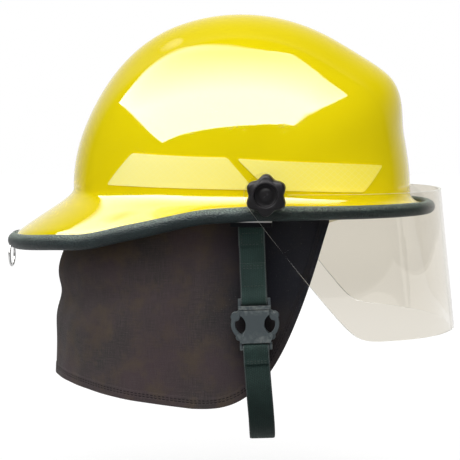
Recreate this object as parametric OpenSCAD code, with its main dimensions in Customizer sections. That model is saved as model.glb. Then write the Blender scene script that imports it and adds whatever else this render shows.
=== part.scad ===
// Structural fire helmet: moulded shell with rim beading, drop-down face shield on two star knobs,
// foam liner, webbing crown, ratchet headband, ear and neck curtain and a two-part chin strap.
// The front points along +X, the wearer's left along +Y. The origin is the centre of the headband.

/* [Shell] */
// Half width of the dome where it meets the brim
dome_half_w = 106; // [100:1:110]
// Height of that line above the origin
base_z = 14; // [12:1:16]
// Distance of the dome's centre in front of the headband's centre
dome_x = 16; // [14:1:18]
// Radius of the dome from its centre, over the crown
dome_r = 130; // [126:1:134]
// How far the blunt front corner stands out of that radius
front_corner = 8; // [4:1:10]
// Height of the crest band over the dome
crest_h = 8; // [4:1:10]
// Half width of the crest band at its top
crest_half_w = 26; // [20:1:30]
// Wall of the moulded shell
shell_t = 3; // [2.4:0.1:3.6]

/* [Brim] */
// How far the shell's edge stands in front of the dome's base
brim_fore = 16; // [12:1:18]
// How far the edge stands behind the dome's base
brim_aft = 48; // [43:1:53]
// How far the edge stands out of the dome's base at the sides
brim_side = 23; // [21:1:23]
// Height of the edge at the front
edge_front_z = 2; // [0:0.5:3]
// Fall of the edge from the front to the nape
edge_drop = 24; // [18:1:28]
// Further fall at the tip of the rear brim
tail_drop = 4; // [0:1:8]
// Radius of the rubber beading round the edge
bead_r = 5.4; // [4.6:0.1:5.6]

/* [Face shield] */
// Distance of the shield's pivot in front of the origin
pivot_x = 42.5; // [40:0.5:44]
// Height of the shield's pivot
pivot_z = 14.4; // [14:0.1:16]
// How far the shield's ears stand outside the shell's edge
shield_side = 8; // [7.8:0.1:9]
// How far its top edge stands in front of the shell's edge
shield_fore = 8; // [7.5:0.5:10]
// How much further forward the bottom edge stands
shield_lean = 11; // [6:1:14]
// Thickness of the shield
shield_t = 2.5; // [2:0.1:2.6]
// Height of the shield's top edge
shield_top_z = 13.5; // [12.5:0.5:14]
// Height of the shield's bottom edge at the front
shield_bottom_z = -92.5; // [-110:0.5:-80]
// Radius of the round ear at the pivot
ear_r = 16; // [14:0.5:18]
// Radius of the pivot stud
stud_r = 3; // [2.5:0.1:3.2]
// Reach of the knob's lobes from its axis
knob_r = 15; // [13:0.5:17]
// Thickness of the knob
knob_t = 13; // [10:0.5:15]
// Radius of the round recess in the knob's face
knob_recess_r = 8.3; // [6:0.1:8.6]

/* [Suspension] */
// Thickness of the foam liner
liner_t = 12; // [10:1:13]
// Room between the liner and the headband at the temples
band_room = 14.6; // [13.6:0.1:17.6]
// How much longer the headband is in front than at the temples
band_long = 40; // [34:1:42]
// Height of the headband
band_h = 26; // [20:1:30]
// Thickness of the headband
band_t = 1.6; // [1.2:0.1:2]
// Room between the liner's side and the crown straps
crown_room = 3.8; // [2.6:0.1:4.6]
// Width of all webbing
web_w = 19; // [15:1:20]
// Thickness of all webbing
web_t = 1.6; // [1.2:0.1:1.8]
// Number of teeth on the fitting pinion
pinion_teeth = 12; // [10:1:14]
// Tooth module of the pinion and the racks
tooth_m = 1; // [0.9:0.05:1.1]
// Radius of the fitting knob behind the nape
fit_knob_r = 19; // [16:1:19]
// Height of the fitting knob's axis
gear_z = -30; // [-34:1:-30]

/* [Chin strap] */
// Distance of the strap in front of the origin, where it is anchored
strap_x = 30.5; // [28:0.5:33]
// How far the strap hangs outside the dome's base
strap_side = 8; // [7:0.5:10]
// Height of the strap's lowest point
strap_low_z = -178; // [-200:1:-170]
// Height of the middle of the buckle
buckle_z = -82; // [-92:1:-76]
// Thickness of the buckle
buckle_t = 7; // [6:0.5:8]
// How far the loop's left side hangs behind its right side, degrees
strap_turn = 4; // [0:1:6]
// Squeeze of each prong, degrees
squeeze = 6; // [3:0.5:7]

/* [Curtain] */
// Distance of the curtain's front edge behind the dome's front
curtain_back = 70; // [66:1:76]
// Height of the curtain's hem below the ears
curtain_low_z = -144; // [-155:1:-130]
// Thickness of the curtain
curtain_t = 2; // [1.5:0.1:2.5]
// How far the curtain stands out behind the neck
curtain_bulge = 13; // [6:1:16]

/* [Hanging ring] */
// Radius of the ring to the middle of its wire
ring_r = 9; // [8:0.5:12]
// Radius of the ring's wire
wire_r = 1; // [0.8:0.1:1.2]

/* [Hidden] */
$fn = 48;
shell_yellow = [0.88, 0.82, 0.02];
rubber_green = [0.08, 0.14, 0.13];
web_green = [0.13, 0.2, 0.18];
nylon_black = [0.1, 0.1, 0.11];
steel = [0.75, 0.76, 0.78];

// stations go once round the helmet, from the front over the wearer's left
fan = 12;
half = 3 * fan;
stations = 2 * half;
section_p = 2.25;
spine = 70;
fit_gap = 0.4;
soft_gap = 0.3;
running = 0.05;

// sizes that follow the dome's
front_more = 4;
rear_more = 3;
base_front = dome_x + dome_r + front_more;
base_rear = dome_r + rear_more - dome_x;
brim_front = base_front + brim_fore;
brim_rear = base_rear + brim_aft;
brim_half_w = dome_half_w + brim_side;
shield_half_w = brim_half_w + shield_side;
shield_reach = brim_front + shield_fore - pivot_x;
liner_out = shell_t + fit_gap;
liner_in = liner_out + liner_t;
crown_r = dome_half_w - liner_in - crown_room;
band_r = dome_half_w - liner_in - band_room;
mesh_r = band_r + band_t + 2.4;
fitting_room = 17;
band_x = mesh_r + fitting_room - base_rear;
band_front = band_r + band_long;
strap_y = dome_half_w + strap_side;
curtain_front = base_front - curtain_back;

function smooth(a, b, v) = let (t = min(1, max(0, (v - a) / (b - a)))) t * t * (3 - 2 * t);
function unit(v) = v / norm(v);
function mix(a, b, t) = a * (1 - t) + b * t;
function signed_pow(v, e) = sign(v) * pow(abs(v), e);
function fold(k) = k <= half ? k : stations - k;
function side(k) = k <= half ? 1 : -1;
function fan_angle(k) = k <= fan ? 90 * k / fan : k <= 2 * fan ? 90 : 90 + 90 * (k - 2 * fan) / fan;
function spine_x(k) = k <= fan ? spine : k <= 2 * fan ? spine * (3 - 2 * k / fan) : -spine;

// radius of the side view round the dome's centre, at an angle above the front
function side_r(a) = dome_r + (cos(a) > 0 ? front_more : rear_more) * pow(cos(a), 2)
    + front_corner * exp(-pow((a - 33) / 13, 2));
function crest(a, y) = crest_h * smooth(18, 38, a) * (1 - smooth(138, 168, a))
    * (1 - smooth(crest_half_w, crest_half_w + 14, abs(y)));
// the dome's wall lies where the width and the side view's radius share one rounded-square law
function dome(dir, inset, crested = 1) = let (n = unit(dir), r2 = norm([n.x, n.z]), a = atan2(n.z, n.x),
    r = 1 / pow(pow(abs(n.y) / dome_half_w, section_p) + pow(r2 / side_r(a), section_p), 1 / section_p))
    [dome_x, 0, base_z] + n * (r - inset + crested * crest(a, r * n.y));
function dome_point(k, lat, inset, crested = 1) = let (f = fold(k), a = fan_angle(f), s = spine_x(f),
    stretch = pow(norm([s, dome_half_w]) / dome_half_w, cos(lat)))
    dome([s + dome_half_w * sin(lat) * cos(a), side(k) * dome_half_w * sin(lat) * sin(a) * stretch,
          dome_half_w * cos(lat)], inset, crested);
function dome_ring(lat, inset, step, crested = 1) = [for (k = [0 : step : stations - 1])
    dome_point(k, lat, inset, crested)];

// the edge follows the same law as the dome's base, stretched about a centre further back
edge_x = 10;
edge_in = 8;
fillet = 7;
function edge_z(x) = edge_front_z - edge_drop * smooth(0, 150, 40 - x) - tail_drop * smooth(0, 70, -100 - x);
function base_u(b) = (b.x - dome_x) / side_r(b.x > dome_x ? 0 : 180);
function edge_point(b) = let (u = base_u(b), x = edge_x + u * (u > 0 ? brim_front - edge_x : brim_rear + edge_x))
    [x, b.y / dome_half_w * brim_half_w, edge_z(x)];
function edge_dir(b) = unit(edge_point(b) - (b - [0, 0, fillet + 2]));
function edge_up(b) = let (d = edge_dir(b)) unit([0, 0, 1] - d * d.z);
function brim_top(b, inset, t) = let (e = edge_point(b), d = edge_dir(b), n = edge_up(b) * inset,
    o = unit([b.x - dome_x, b.y, 0]) * inset, p0 = b - o, p1 = p0 - [0, 0, fillet],
    p3 = e - d * edge_in - n, p2 = mix(p3, b - [0, 0, fillet + 2] - n, 0.5))
    p0 * pow(1 - t, 3) + p1 * 3 * t * pow(1 - t, 2) + p2 * 3 * t * t * (1 - t) + p3 * pow(t, 3);
function base_ring(step) = dome_ring(90, 0, step);
function brim_ring(t, inset) = [for (b = base_ring(1)) brim_top(b, inset, t)];
function edge_ring(inset) = [for (b = base_ring(1)) edge_point(b) - edge_up(b) * inset];

// closed solids from rings of points, listed from the top outwards and back inside
function strip(i, n, m) = [for (k = [0 : n - 1]) let (a = i * n, b = (i + 1) % m * n, j = (k + 1) % n)
    each [[a + k, b + j, b + k], [a + k, a + j, b + j]]];
function zip(a, n) = concat([[a, a + 1, a + n - 1], [a + n / 2 - 1, a + n / 2, a + n / 2 + 1]],
    [for (k = [1 : n / 2 - 2]) each [[a + k, a + k + 1, a + n - k - 1], [a + k, a + n - k - 1, a + n - k]]]);
function flipped(faces) = [for (f = faces) [f[2], f[1], f[0]]];
module bowl(rings) {
    n = len(rings[0]);
    m = len(rings);
    polyhedron([for (r = rings) each r],
        concat([for (i = [0 : m - 2]) each strip(i, n, m)], flipped(zip(0, n)), zip((m - 1) * n, n)));
}
module hoop(rings) {
    n = len(rings[0]);
    m = len(rings);
    polyhedron([for (r = rings) each r], [for (i = [0 : m - 1]) each strip(i, n, m)]);
}
// a bar from sections of points: each section goes out along one face and back along the other
module bar(sections) {
    n = len(sections[0]);
    m = len(sections);
    last = (m - 1) * n;
    polyhedron([for (s = sections) each s],
        concat([for (i = [0 : m - 2]) each strip(i, n, m)],
            [for (j = [0 : n / 2 - 2]) each [[j + 1, j, n - 1 - j], [j + 1, n - 1 - j, n - 2 - j]]],
            [for (j = [0 : n / 2 - 2]) each [[last + j, last + j + 1, last + n - 1 - j],
                                             [last + j + 1, last + n - 2 - j, last + n - 1 - j]]]));
}

crown_lats = [5, 9, 12, 14.5, 17, 19.5, 22, 26, 32, 39, 46, 53, 60, 67, 74, 80, 85, 90];
brim_steps = [0.25, 0.45, 0.6, 0.8, 1];
rivet_r = 1.6;
screw_r = 1.7;

module outer_shell() {
    color(shell_yellow) difference() {
        bowl(concat([for (l = crown_lats) dome_ring(l, 0, 1)], [for (t = brim_steps) brim_ring(t, 0)],
            [edge_ring(0), edge_ring(shell_t)],
            [for (i = [len(brim_steps) - 1 : -1 : 0]) brim_ring(brim_steps[i], shell_t)],
            [for (i = [len(crown_lats) - 1 : -1 : 0]) dome_ring(crown_lats[i], shell_t, 1)]));
        both_sides() {
            bracket_screw_at() cylinder(r = screw_r + fit_gap / 2, h = 40, center = true, $fn = 24);
            anchor_rivet_at() cylinder(r = rivet_r + running, h = 5.4, center = true, $fn = 24);
        }
        hanger_rivet_at() translate([0, 0, -8]) cylinder(r = rivet_r + running, h = 12, $fn = 24);
    }
}

// outline of the beading, across the edge: a round back and a slot for the shell
bead_out = 1;
slot_in = 5;
slot_gap = 0.2;
function bead_outline() = concat([for (a = [-128 : 32 : 128]) [bead_r * cos(a) - bead_out, bead_r * sin(a)]],
    [for (p = [[-slot_in, 1], [0.2, 1], [0.2, -1], [-slot_in, -1]]) [p.x, p.y * (shell_t / 2 + slot_gap)]]);
module edge_trim() {
    color(rubber_green) hoop([for (p = bead_outline()) [for (b = base_ring(1))
        edge_point(b) - edge_up(b) * (shell_t / 2 - p.y) + edge_dir(b) * p.x]]);
}

// reflective trapezoids: angle round the dome and height of each corner, the two lower ones first
panel_t = 0.4;
panel_lift = 0.3;
upright = [[-140, 19], [-84, 17], [-130, 44], [-92, 44]];
inverted = [[-75.5, 16.5], [-40, 14], [-86, 43], [-31, 33]];
function panel_dir(a, z) = let (h = (z - base_z) / 125) [cos(a) * sqrt(1 - h * h), sin(a) * sqrt(1 - h * h), h];
module panel(corners, turn) {
    cols = 12;
    rows = 4;
    function place(i, j, lift) = let (low = mix(corners[0], corners[1], i / cols),
        high = mix(corners[2], corners[3], i / cols), p = mix(low, high, j / rows))
        dome(panel_dir(turn * p.x, p.y), -lift);
    function outline(i) = concat([for (j = [0 : rows]) place(i, j, panel_lift + panel_t)],
        [for (j = [rows : -1 : 0]) place(i, j, panel_lift)]);
    bar([for (i = [0 : cols]) outline(turn > 0 ? i : cols - i)]);
}
module reflective_panels() {
    color([0.99, 0.95, 0.5]) for (turn = [1, -1]) {
        panel(upright, turn);
        panel(inverted, turn);
    }
}

// pivot hardware on the brim, both sides alike
boss_r = 6.5;
bracket_w = 20;
bracket_top = pivot_z + boss_r;
ear_in = shield_half_w - shield_t;
washer_t = 1;
knob_in = shield_half_w + 0.1 + washer_t + 0.1;
screw_y = brim_half_w - 13.6;
screw_head = 2;
nut_r = 4.6;
nut_t = 3;
bracket_wall = dome([pivot_x - bracket_w / 2 - dome_x, dome_half_w - 4, 4], 0).y + 1.1;
nut_y = bracket_wall + 2;
bead_clear = 0.6;
module both_sides() {
    children();
    mirror([0, 1, 0]) children();
}
// point of the brim's upper face straight above or below a place beside the pivot
function brim_near_pivot(t) = brim_top(dome([pivot_x + 4 - dome_x, dome_half_w - 3, 0], 0), 0, t);
module bracket_screw_at() {
    for (dx = [-6, 6]) translate([pivot_x + dx, screw_y, 0]) children();
}
module pivot_brackets() {
    low_in = brim_near_pivot(0.45);
    low_out = brim_near_pivot(1);
    color(nylon_black) both_sides() difference() {
        union() {
            translate([pivot_x - bracket_w / 2, 0, 0]) rotate([90, 0, 90]) linear_extrude(bracket_w)
                polygon([[bracket_wall, bracket_top], [bracket_wall + 0.4, low_in.z + 5],
                         [low_in.y + 1.2, low_in.z + 1.2], [low_out.y, low_out.z + 0.9],
                         [low_out.y + 0.5, edge_front_z + bead_r + bead_clear],
                         [ear_in - 4, edge_front_z + bead_r + bead_clear], [ear_in - 4, bracket_top]]);
            translate([pivot_x, ear_in - 4.5, pivot_z]) rotate([-90, 0, 0]) cylinder(r = boss_r, h = 4.3);
        }
        translate([pivot_x, nut_y + nut_t, pivot_z]) rotate([-90, 0, 0]) cylinder(r = stud_r + running, h = 60);
        translate([pivot_x, 0, pivot_z]) rotate([-90, 0, 0]) cylinder(r = nut_r + 0.1, h = nut_y + nut_t + 0.1, $fn = 6);
        bracket_screw_at() translate([0, 0, -20]) cylinder(r = screw_r + running, h = 34, $fn = 24);
    }
}
module bracket_screws() {
    under = brim_near_pivot(1).z - shell_t - 0.9;
    color(steel) both_sides() bracket_screw_at() {
        translate([0, 0, under]) cylinder(r = screw_r, h = 13 - under, $fn = 24);
        translate([0, 0, under - screw_head]) cylinder(r1 = 2.4, r2 = 3, h = screw_head, $fn = 24);
    }
}
stud_end = knob_in + 6.8;
module pivot_studs() {
    color(steel) both_sides() translate([pivot_x, 0, pivot_z]) rotate([-90, 0, 0])
        translate([0, 0, nut_y]) cylinder(r = stud_r, h = stud_end - nut_y);
}
module stud_nuts() {
    color(steel) both_sides() translate([pivot_x, nut_y, pivot_z]) rotate([-90, 0, 0]) difference() {
        cylinder(r = nut_r, h = nut_t, $fn = 6);
        translate([0, 0, -1]) cylinder(r = stud_r + running, h = nut_t + 2);
    }
}
module friction_washers() {
    color([0.85, 0.85, 0.8]) both_sides() translate([pivot_x, shield_half_w + 0.1, pivot_z]) rotate([-90, 0, 0])
        difference() {
            cylinder(r = 9, h = washer_t);
            translate([0, 0, -1]) cylinder(r = stud_r + running, h = 4);
        }
}
bore_end = 7.5;
insert_gap = 0.01;
module star_knob() {
    color(nylon_black) translate([pivot_x, knob_in, pivot_z]) rotate([-90, 0, 0]) difference() {
        union() {
            linear_extrude(knob_t - 1.5) difference() {
                union() {
                    circle(r = knob_r - 3);
                    for (i = [0 : 5]) rotate(i * 60 + 30) translate([knob_r - 4.6, 0]) circle(r = 4.6);
                }
                for (i = [0 : 5]) rotate(i * 60) translate([knob_r + 0.8, 0]) circle(r = 3.6);
            }
            translate([0, 0, knob_t - 1.6]) cylinder(r1 = knob_r - 3.8, r2 = knob_r - 4.8, h = 1.6);
        }
        translate([0, 0, knob_t - 4.5]) cylinder(r = knob_recess_r, h = 6);
        translate([0, 0, -1]) cylinder(r = insert_r + insert_gap, h = 7.4);
        translate([0, 0, -1]) cylinder(r = stud_r + running, h = bore_end + 1);
    }
}
module knob_left() {
    star_knob();
}
module knob_right() {
    mirror([0, 1, 0]) star_knob();
}
// threaded insert moulded into a knob
insert_r = stud_r + 1.2;
module knob_insert() {
    color([0.75, 0.6, 0.25]) translate([pivot_x, knob_in + 0.3, pivot_z]) rotate([-90, 0, 0]) difference() {
        cylinder(r = insert_r, h = 6);
        translate([0, 0, -1]) cylinder(r = stud_r + running, h = 9);
    }
}
module insert_left() {
    knob_insert();
}
module insert_right() {
    mirror([0, 1, 0]) knob_insert();
}

// shield: a bent sheet from ear to ear, cut to its side view
shield_cols = 60;
ear_back = pivot_x - ear_r + 0.3;
slant = 52.6;
shield_side_low = shield_bottom_z + 1.2;
shield_turn = 5;
function shield_top(x) = let (dx = x - pivot_x, c = abs(dx) < ear_r ? sqrt(ear_r * ear_r - dx * dx) : 0)
    max(pivot_z + c, shield_top_z) - (dx > 0 ? (pivot_z + c - shield_top_z) * smooth(0, ear_r + 4, dx)
    * (c > 0 ? 1 : 0) : 0);
function shield_low(x) = let (dx = x - pivot_x, c = abs(dx) < ear_r ? sqrt(ear_r * ear_r - dx * dx) : 0,
    touch = -ear_r * sin(slant), line = pivot_z - ear_r * cos(slant) - (dx - touch) * tan(slant),
    floor_z = mix(shield_side_low, shield_bottom_z, smooth(brim_front - 66, brim_front + 4, x)))
    dx < touch ? pivot_z - c : floor_z + shield_turn * ln(1 + exp((line - floor_z) / shield_turn));
// half the plan: the arm is straight up to the pivot and then bends round to the front
function shield_plan(s) = s < 0.18 ? [mix(ear_back, pivot_x, s / 0.18), 1]
    : let (a = 90 * (s - 0.18) / 0.82) [pivot_x + shield_reach * signed_pow(sin(a), 2 / 2.3),
                                        signed_pow(cos(a), 2 / 2.3)];
function shield_point(i, v, inset) = let (h = i / shield_cols * 2, far = h > 1, s = far ? 2 - h : h,
    q = shield_plan(s), top = shield_top(q.x), low = shield_low(q.x), z = mix(top, low, v),
    grow = 1 + shield_lean / shield_reach * max(0, shield_top_z - z) / (shield_top_z - shield_bottom_z),
    reach = q.x < pivot_x ? q.x - pivot_x : (q.x - pivot_x) * grow * (1 - inset / shield_reach))
    [pivot_x + reach, (far ? 1 : -1) * q.y * (shield_half_w - inset), z];
shield_rows = 6;
module face_shield() {
    color([0.85, 0.83, 0.76, 0.4]) difference() {
        bar([for (i = [0 : shield_cols]) concat([for (j = [0 : shield_rows]) shield_point(i, j / shield_rows, 0)],
            [for (j = [shield_rows : -1 : 0]) shield_point(i, j / shield_rows, shield_t)])]);
        translate([pivot_x, 0, pivot_z]) rotate([90, 0, 0])
            cylinder(r = stud_r + running, h = 4 * shield_half_w, center = true);
    }
}

// foam liner: follows the inside of the shell, under the hollow crest, and ends in a short skirt below the brim's root
liner_lats = [5, 16, 28, 40, 52, 64, 76, 90];
function skirt_z(x) = mix(-9, 3, smooth(base_front - 72, base_front - 25, x));
function skirt_ring(inset) = [for (k = [0 : 2 : stations - 1]) let (p = dome_point(k, 90, inset))
    [p.x, p.y, skirt_z(p.x)]];
module impact_liner() {
    color([0.93, 0.88, 0.68]) bowl(concat([for (l = liner_lats) dome_ring(l, liner_out, 2, 0)],
        [skirt_ring(liner_out), skirt_ring(liner_in)],
        [for (i = [len(liner_lats) - 1 : -1 : 0]) dome_ring(liner_lats[i], liner_in, 2, 0)]));
}

// headband: a circle behind its centre and an ellipse in front of it, open at the nape, with two arms
// that reach down to the toothed tails
band_low = -4;
arm_from = 60;
arm_turn = 10;
arm_proud = 0.5;
function band_point(a, out) = let (r = band_r + out, f = band_front + out)
    [band_x + (cos(a) > 0 ? f : r) * cos(a), r * sin(a)];
module band_part(a0, a1, out, t, h) {
    n = 28;
    linear_extrude(h) polygon(concat([for (i = [0 : n]) band_point(mix(a0, a1, i / n), out + t)],
        [for (i = [n : -1 : 0]) band_point(mix(a0, a1, i / n), out)]));
}
module arc(from, turn) {
    rotate([0, 0, from]) rotate_extrude(angle = turn, $fn = 128) children();
}
module band_arm(up) {
    low = up > 0 ? tail_in : -tail_in - tail_w;
    arc(180 + arm_from + 0.8, arm_turn) difference() {
        union() {
            translate([band_r - arm_proud, gear_z - tail_in - tail_w - 2])
                square([band_t + 2 * arm_proud, band_low - gear_z + tail_in + tail_w + 4]);
            translate([band_r + 0.2, gear_z + low - 1.6]) square([mesh_r + tail_t / 2 + 1.6 - band_r, tail_w + 3.2]);
        }
        translate([mesh_r - tail_t / 2 - soft_gap, gear_z + low - soft_gap])
            square([tail_t + 2 * soft_gap, tail_w + 2 * soft_gap]);
    }
}
module headband() {
    color(nylon_black) {
        translate([0, 0, band_low]) band_part(-180 + arm_from, 180 - arm_from, 0, band_t, band_h);
        translate([band_x, 0, 0]) {
            band_arm(1);
            mirror([0, 1, 0]) band_arm(-1);
        }
    }
}
pad_gap = 0.6;
module brow_pad() {
    color([0.55, 0.45, 0.35]) translate([0, 0, band_low + 1]) band_part(-62, 62, -4 - pad_gap, 4, band_h - 2);
}

// crown straps: two webbing arcs sewn where they cross, with straight ends down to the keys
crown_x = band_x + 13;
crown_z = 20;
crown_turn = 50;
crown_pad_r = 24;
crown_pad_t = 3;
strap_end_z = 6;
crown_turns = [crown_turn, -crown_turn, 180 - crown_turn, crown_turn - 180];
module crown_straps() {
    color(web_green) translate([crown_x, 0, crown_z]) {
        for (t = [crown_turn, -crown_turn]) rotate([0, 0, t]) rotate([90, 0, 0])
            rotate_extrude(angle = 180, $fn = 96) translate([crown_r, -web_w / 2]) square([web_t, web_w]);
        for (t = crown_turns) rotate(t) translate([crown_r, -web_w / 2, strap_end_z - crown_z])
            cube([web_t, web_w, crown_z - strap_end_z + 0.1]);
    }
}
module crown_pad() {
    color([0.25, 0.25, 0.25]) translate([crown_x, 0, crown_z]) intersection() {
        difference() {
            sphere(r = crown_r - soft_gap, $fn = 96);
            sphere(r = crown_r - soft_gap - crown_pad_t, $fn = 96);
        }
        cylinder(r = crown_pad_r, h = 2 * crown_r);
    }
}
// keys: moulded plates between the strap ends and the headband, each with an arm that rests on the liner
key_t = 1;
key_arm_h = 4;
key_arm_gap = 2.6;
peg_gap = 0.7;
function law(p, ax, ay) = pow(abs(p.x) / ax, section_p) + pow(abs(p.y) / ay, section_p);
function reach_in(t, lo, hi, ax, ay, at) = let (m = (lo + hi) / 2, p = [at + m * cos(t), m * sin(t)]) hi - lo < 0.01 ? lo
    : law(p, ax, ay) > 1 ? reach_in(t, lo, m, ax, ay, at) : reach_in(t, m, hi, ax, ay, at);
function to_liner(t) = let (i = liner_in + soft_gap)
    reach_in(t, 60, 160, side_r(cos(t) > 0 ? 0 : 180) - i, dome_half_w - i, crown_x - dome_x);
function to_band(t, lo, hi) = let (m = (lo + hi) / 2, q = [crown_x - band_x + m * cos(t), m * sin(t)],
    f = q.x > 0 ? band_front : band_r) hi - lo < 0.01 ? hi
    : norm([q.x / (f + band_t), q.y / (band_r + band_t)]) < 1 ? to_band(t, m, hi) : to_band(t, lo, m);
module suspension_keys() {
    color(nylon_black) translate([crown_x, 0, 0]) for (t = crown_turns) rotate(t) {
        plate = crown_r - key_t - 0.1;
        translate([plate, -web_w / 2, 0]) cube([key_t, web_w, 20]);
        translate([plate, -web_w / 2 + 3, 0]) cube([to_liner(t) - plate - key_arm_gap, web_w - 6, key_arm_h]);
        translate([to_band(t, 60, 110) + peg_gap, 0, 12]) rotate([0, 90, 0])
            cylinder(r = 3, h = plate - to_band(t, 60, 110) - peg_gap + 0.5);
    }
}

// fitting mechanism: a pinion between two toothed tails that slide along the rear arc
pinion_r = tooth_m * pinion_teeth / 2;
tooth_add = 0.8 * tooth_m;
tail_t = 1.6;
tail_w = 5;
tail_in = pinion_r + tooth_add + 0.35;
tooth_gap = 0.2;
pitch_deg = 180 * tooth_m / mesh_r;
tail_past = 16;
tail_reach = 78;
function tooth_half(y) = tooth_m * PI / 4 - tooth_gap - y * 0.36;
module tail() {
    color([0.16, 0.16, 0.17]) translate([band_x, 0, gear_z]) {
        arc(180 - tail_past, tail_past + tail_reach) translate([mesh_r - tail_t / 2, tail_in])
            square([tail_t, tail_w]);
        for (k = [-7 : 6]) rotate([0, 0, 180 + (k + 0.5) * pitch_deg]) translate([mesh_r - tail_t / 2, 0, 0])
            rotate([90, 0, 90]) linear_extrude(tail_t) polygon([
                [-tooth_half(-tooth_add), tail_in + 0.2], [-tooth_half(tooth_add), pinion_r - tooth_add],
                [tooth_half(tooth_add), pinion_r - tooth_add], [tooth_half(-tooth_add), tail_in + 0.2]]);
    }
}
module band_tail_right() {
    tail();
}
// the left tail is the right one turned half round the pinion's axis
module band_tail_left() {
    translate([0, 0, gear_z]) rotate([180, 0, 0]) translate([0, 0, -gear_z]) tail();
}
axle_r = 2;
module fitting_pinion() {
    color(steel) translate([band_x - mesh_r, 0, gear_z]) rotate([0, -90, 0]) {
        translate([0, 0, -1.6]) linear_extrude(3.2) {
            circle(r = pinion_r - tooth_add - 0.3);
            for (k = [0 : pinion_teeth - 1]) rotate(k * 360 / pinion_teeth) polygon([
                [pinion_r - tooth_add - 0.8, -tooth_half(-tooth_add)], [pinion_r + tooth_add, -tooth_half(tooth_add)],
                [pinion_r + tooth_add, tooth_half(tooth_add)], [pinion_r - tooth_add - 0.8, tooth_half(-tooth_add)]]);
        }
        translate([0, 0, -3.4]) cylinder(r = axle_r, h = 12.5);
    }
}
house_in = mesh_r - 4.6;
house_out = mesh_r + 4.2;
house_turn = 24;
module ratchet_housing() {
    slot_h = tail_in + tail_w + soft_gap;
    color(nylon_black) translate([band_x, 0, gear_z]) difference() {
        arc(180 - house_turn, 2 * house_turn) translate([house_in, -slot_h - 1.8])
            square([house_out - house_in, 2 * slot_h + 3.6]);
        arc(175 - house_turn, 2 * house_turn + 10) translate([mesh_r - 2, -slot_h]) square([4, 2 * slot_h]);
        rotate([0, -90, 0]) cylinder(r = axle_r + running, h = 2 * mesh_r);
    }
}
fit_knob_in = mesh_r + 4.5;
module fitting_knob() {
    color(nylon_black) translate([band_x - fit_knob_in, 0, gear_z]) rotate([0, -90, 0]) difference() {
        union() {
            linear_extrude(7.5) difference() {
                circle(r = fit_knob_r);
                for (i = [0 : 17]) rotate(i * 20) translate([fit_knob_r + 1, 0]) circle(r = 2);
            }
            translate([0, 0, 7.5]) cylinder(r1 = fit_knob_r - 2.4, r2 = fit_knob_r - 5, h = 1.5);
        }
        translate([0, 0, -1]) cylinder(r = axle_r, h = 5.7);
    }
}
module nape_pad() {
    color([0.3, 0.28, 0.26]) translate([band_x, 0, gear_z - 12]) arc(180 - house_turn, 2 * house_turn)
        translate([house_in - 5 - soft_gap, 0]) square([5, 24]);
}

// ear and neck curtain: hangs from a strip on the liner's skirt, round the back from ear to ear
curtain_in = liner_out - curtain_t - 0.9;
curtain_cols = 56;
curtain_rows = 10;
curtain_top_z = 0;
front_t = acos(pow((curtain_front - 0.6 - dome_x) / side_r(0), section_p / 2));
function curtain_t_at(u) = let (e = u - 0.09 * sin(360 * u)) mix(front_t, 360 - front_t, e);
function plan_at(t, inset) = let (c = signed_pow(cos(t), 2 / section_p), s = signed_pow(sin(t), 2 / section_p))
    [dome_x + c * (side_r(c > 0 ? 0 : 180) - inset), s * (dome_half_w - inset)];
function hem_z(x) = x > 0 ? -6 + (curtain_low_z + 6) * pow(1 - pow(min(1, x / curtain_front), 1.9), 1 / 1.9)
    : curtain_low_z + 10 * pow(-x / base_rear, 1.6);
function curtain_point(u, v, inset) = let (t = curtain_t_at(u), p = plan_at(t, inset), x = plan_at(t, 0).x,
    rear = smooth(0.1, 0.9, -cos(t)), top = curtain_top_z - 4 * rear, z = mix(top, min(top - 5, hem_z(x)), v),
    d = (top - z) / (top - curtain_low_z), wave = 1.6 * smooth(0.15, 0.9, d) * cos(7.5 * t) * (0.5 + 0.5 * rear),
    out = wave + curtain_bulge * rear * smooth(0, 0.4, d) + 0.6 * d, n = unit([p.x - dome_x, 1.2 * p.y]))
    [p.x + n.x * out, p.y + n.y * out, z];
module ear_neck_curtain() {
    color([0.22, 0.19, 0.19]) bar([for (i = [0 : curtain_cols]) concat(
        [for (j = [0 : curtain_rows]) curtain_point(i / curtain_cols, j / curtain_rows, curtain_in)],
        [for (j = [curtain_rows : -1 : 0]) curtain_point(i / curtain_cols, j / curtain_rows,
            curtain_in + curtain_t)])]);
}
module curtain_strip() {
    cols = 72;
    function edge(u, inset, z) = let (p = plan_at(mix(front_t + 2, 358 - front_t, u), inset)) [p.x, p.y, z];
    color([0.12, 0.12, 0.13]) bar([for (i = [0 : cols]) let (u = i / cols, r = smooth(0.1, 0.9,
        -cos(mix(front_t + 2, 358 - front_t, u))), top = curtain_top_z - 4 * r)
        [edge(u, liner_out - 0.65, top), edge(u, liner_out - 0.65, top - 8),
         edge(u, liner_out - 0.25, top - 8), edge(u, liner_out - 0.25, top)]]);
}

// chin strap, drawn in a frame that leans forward from the anchor
lean = 2.4;
anchor_low = -9.6;
anchor_t = 1.4;
anchor_w = 30;
module strap_frame() {
    translate([strap_x, 0, anchor_low]) rotate([0, -lean, 0]) translate([0, 0, -anchor_low]) children();
}
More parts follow.
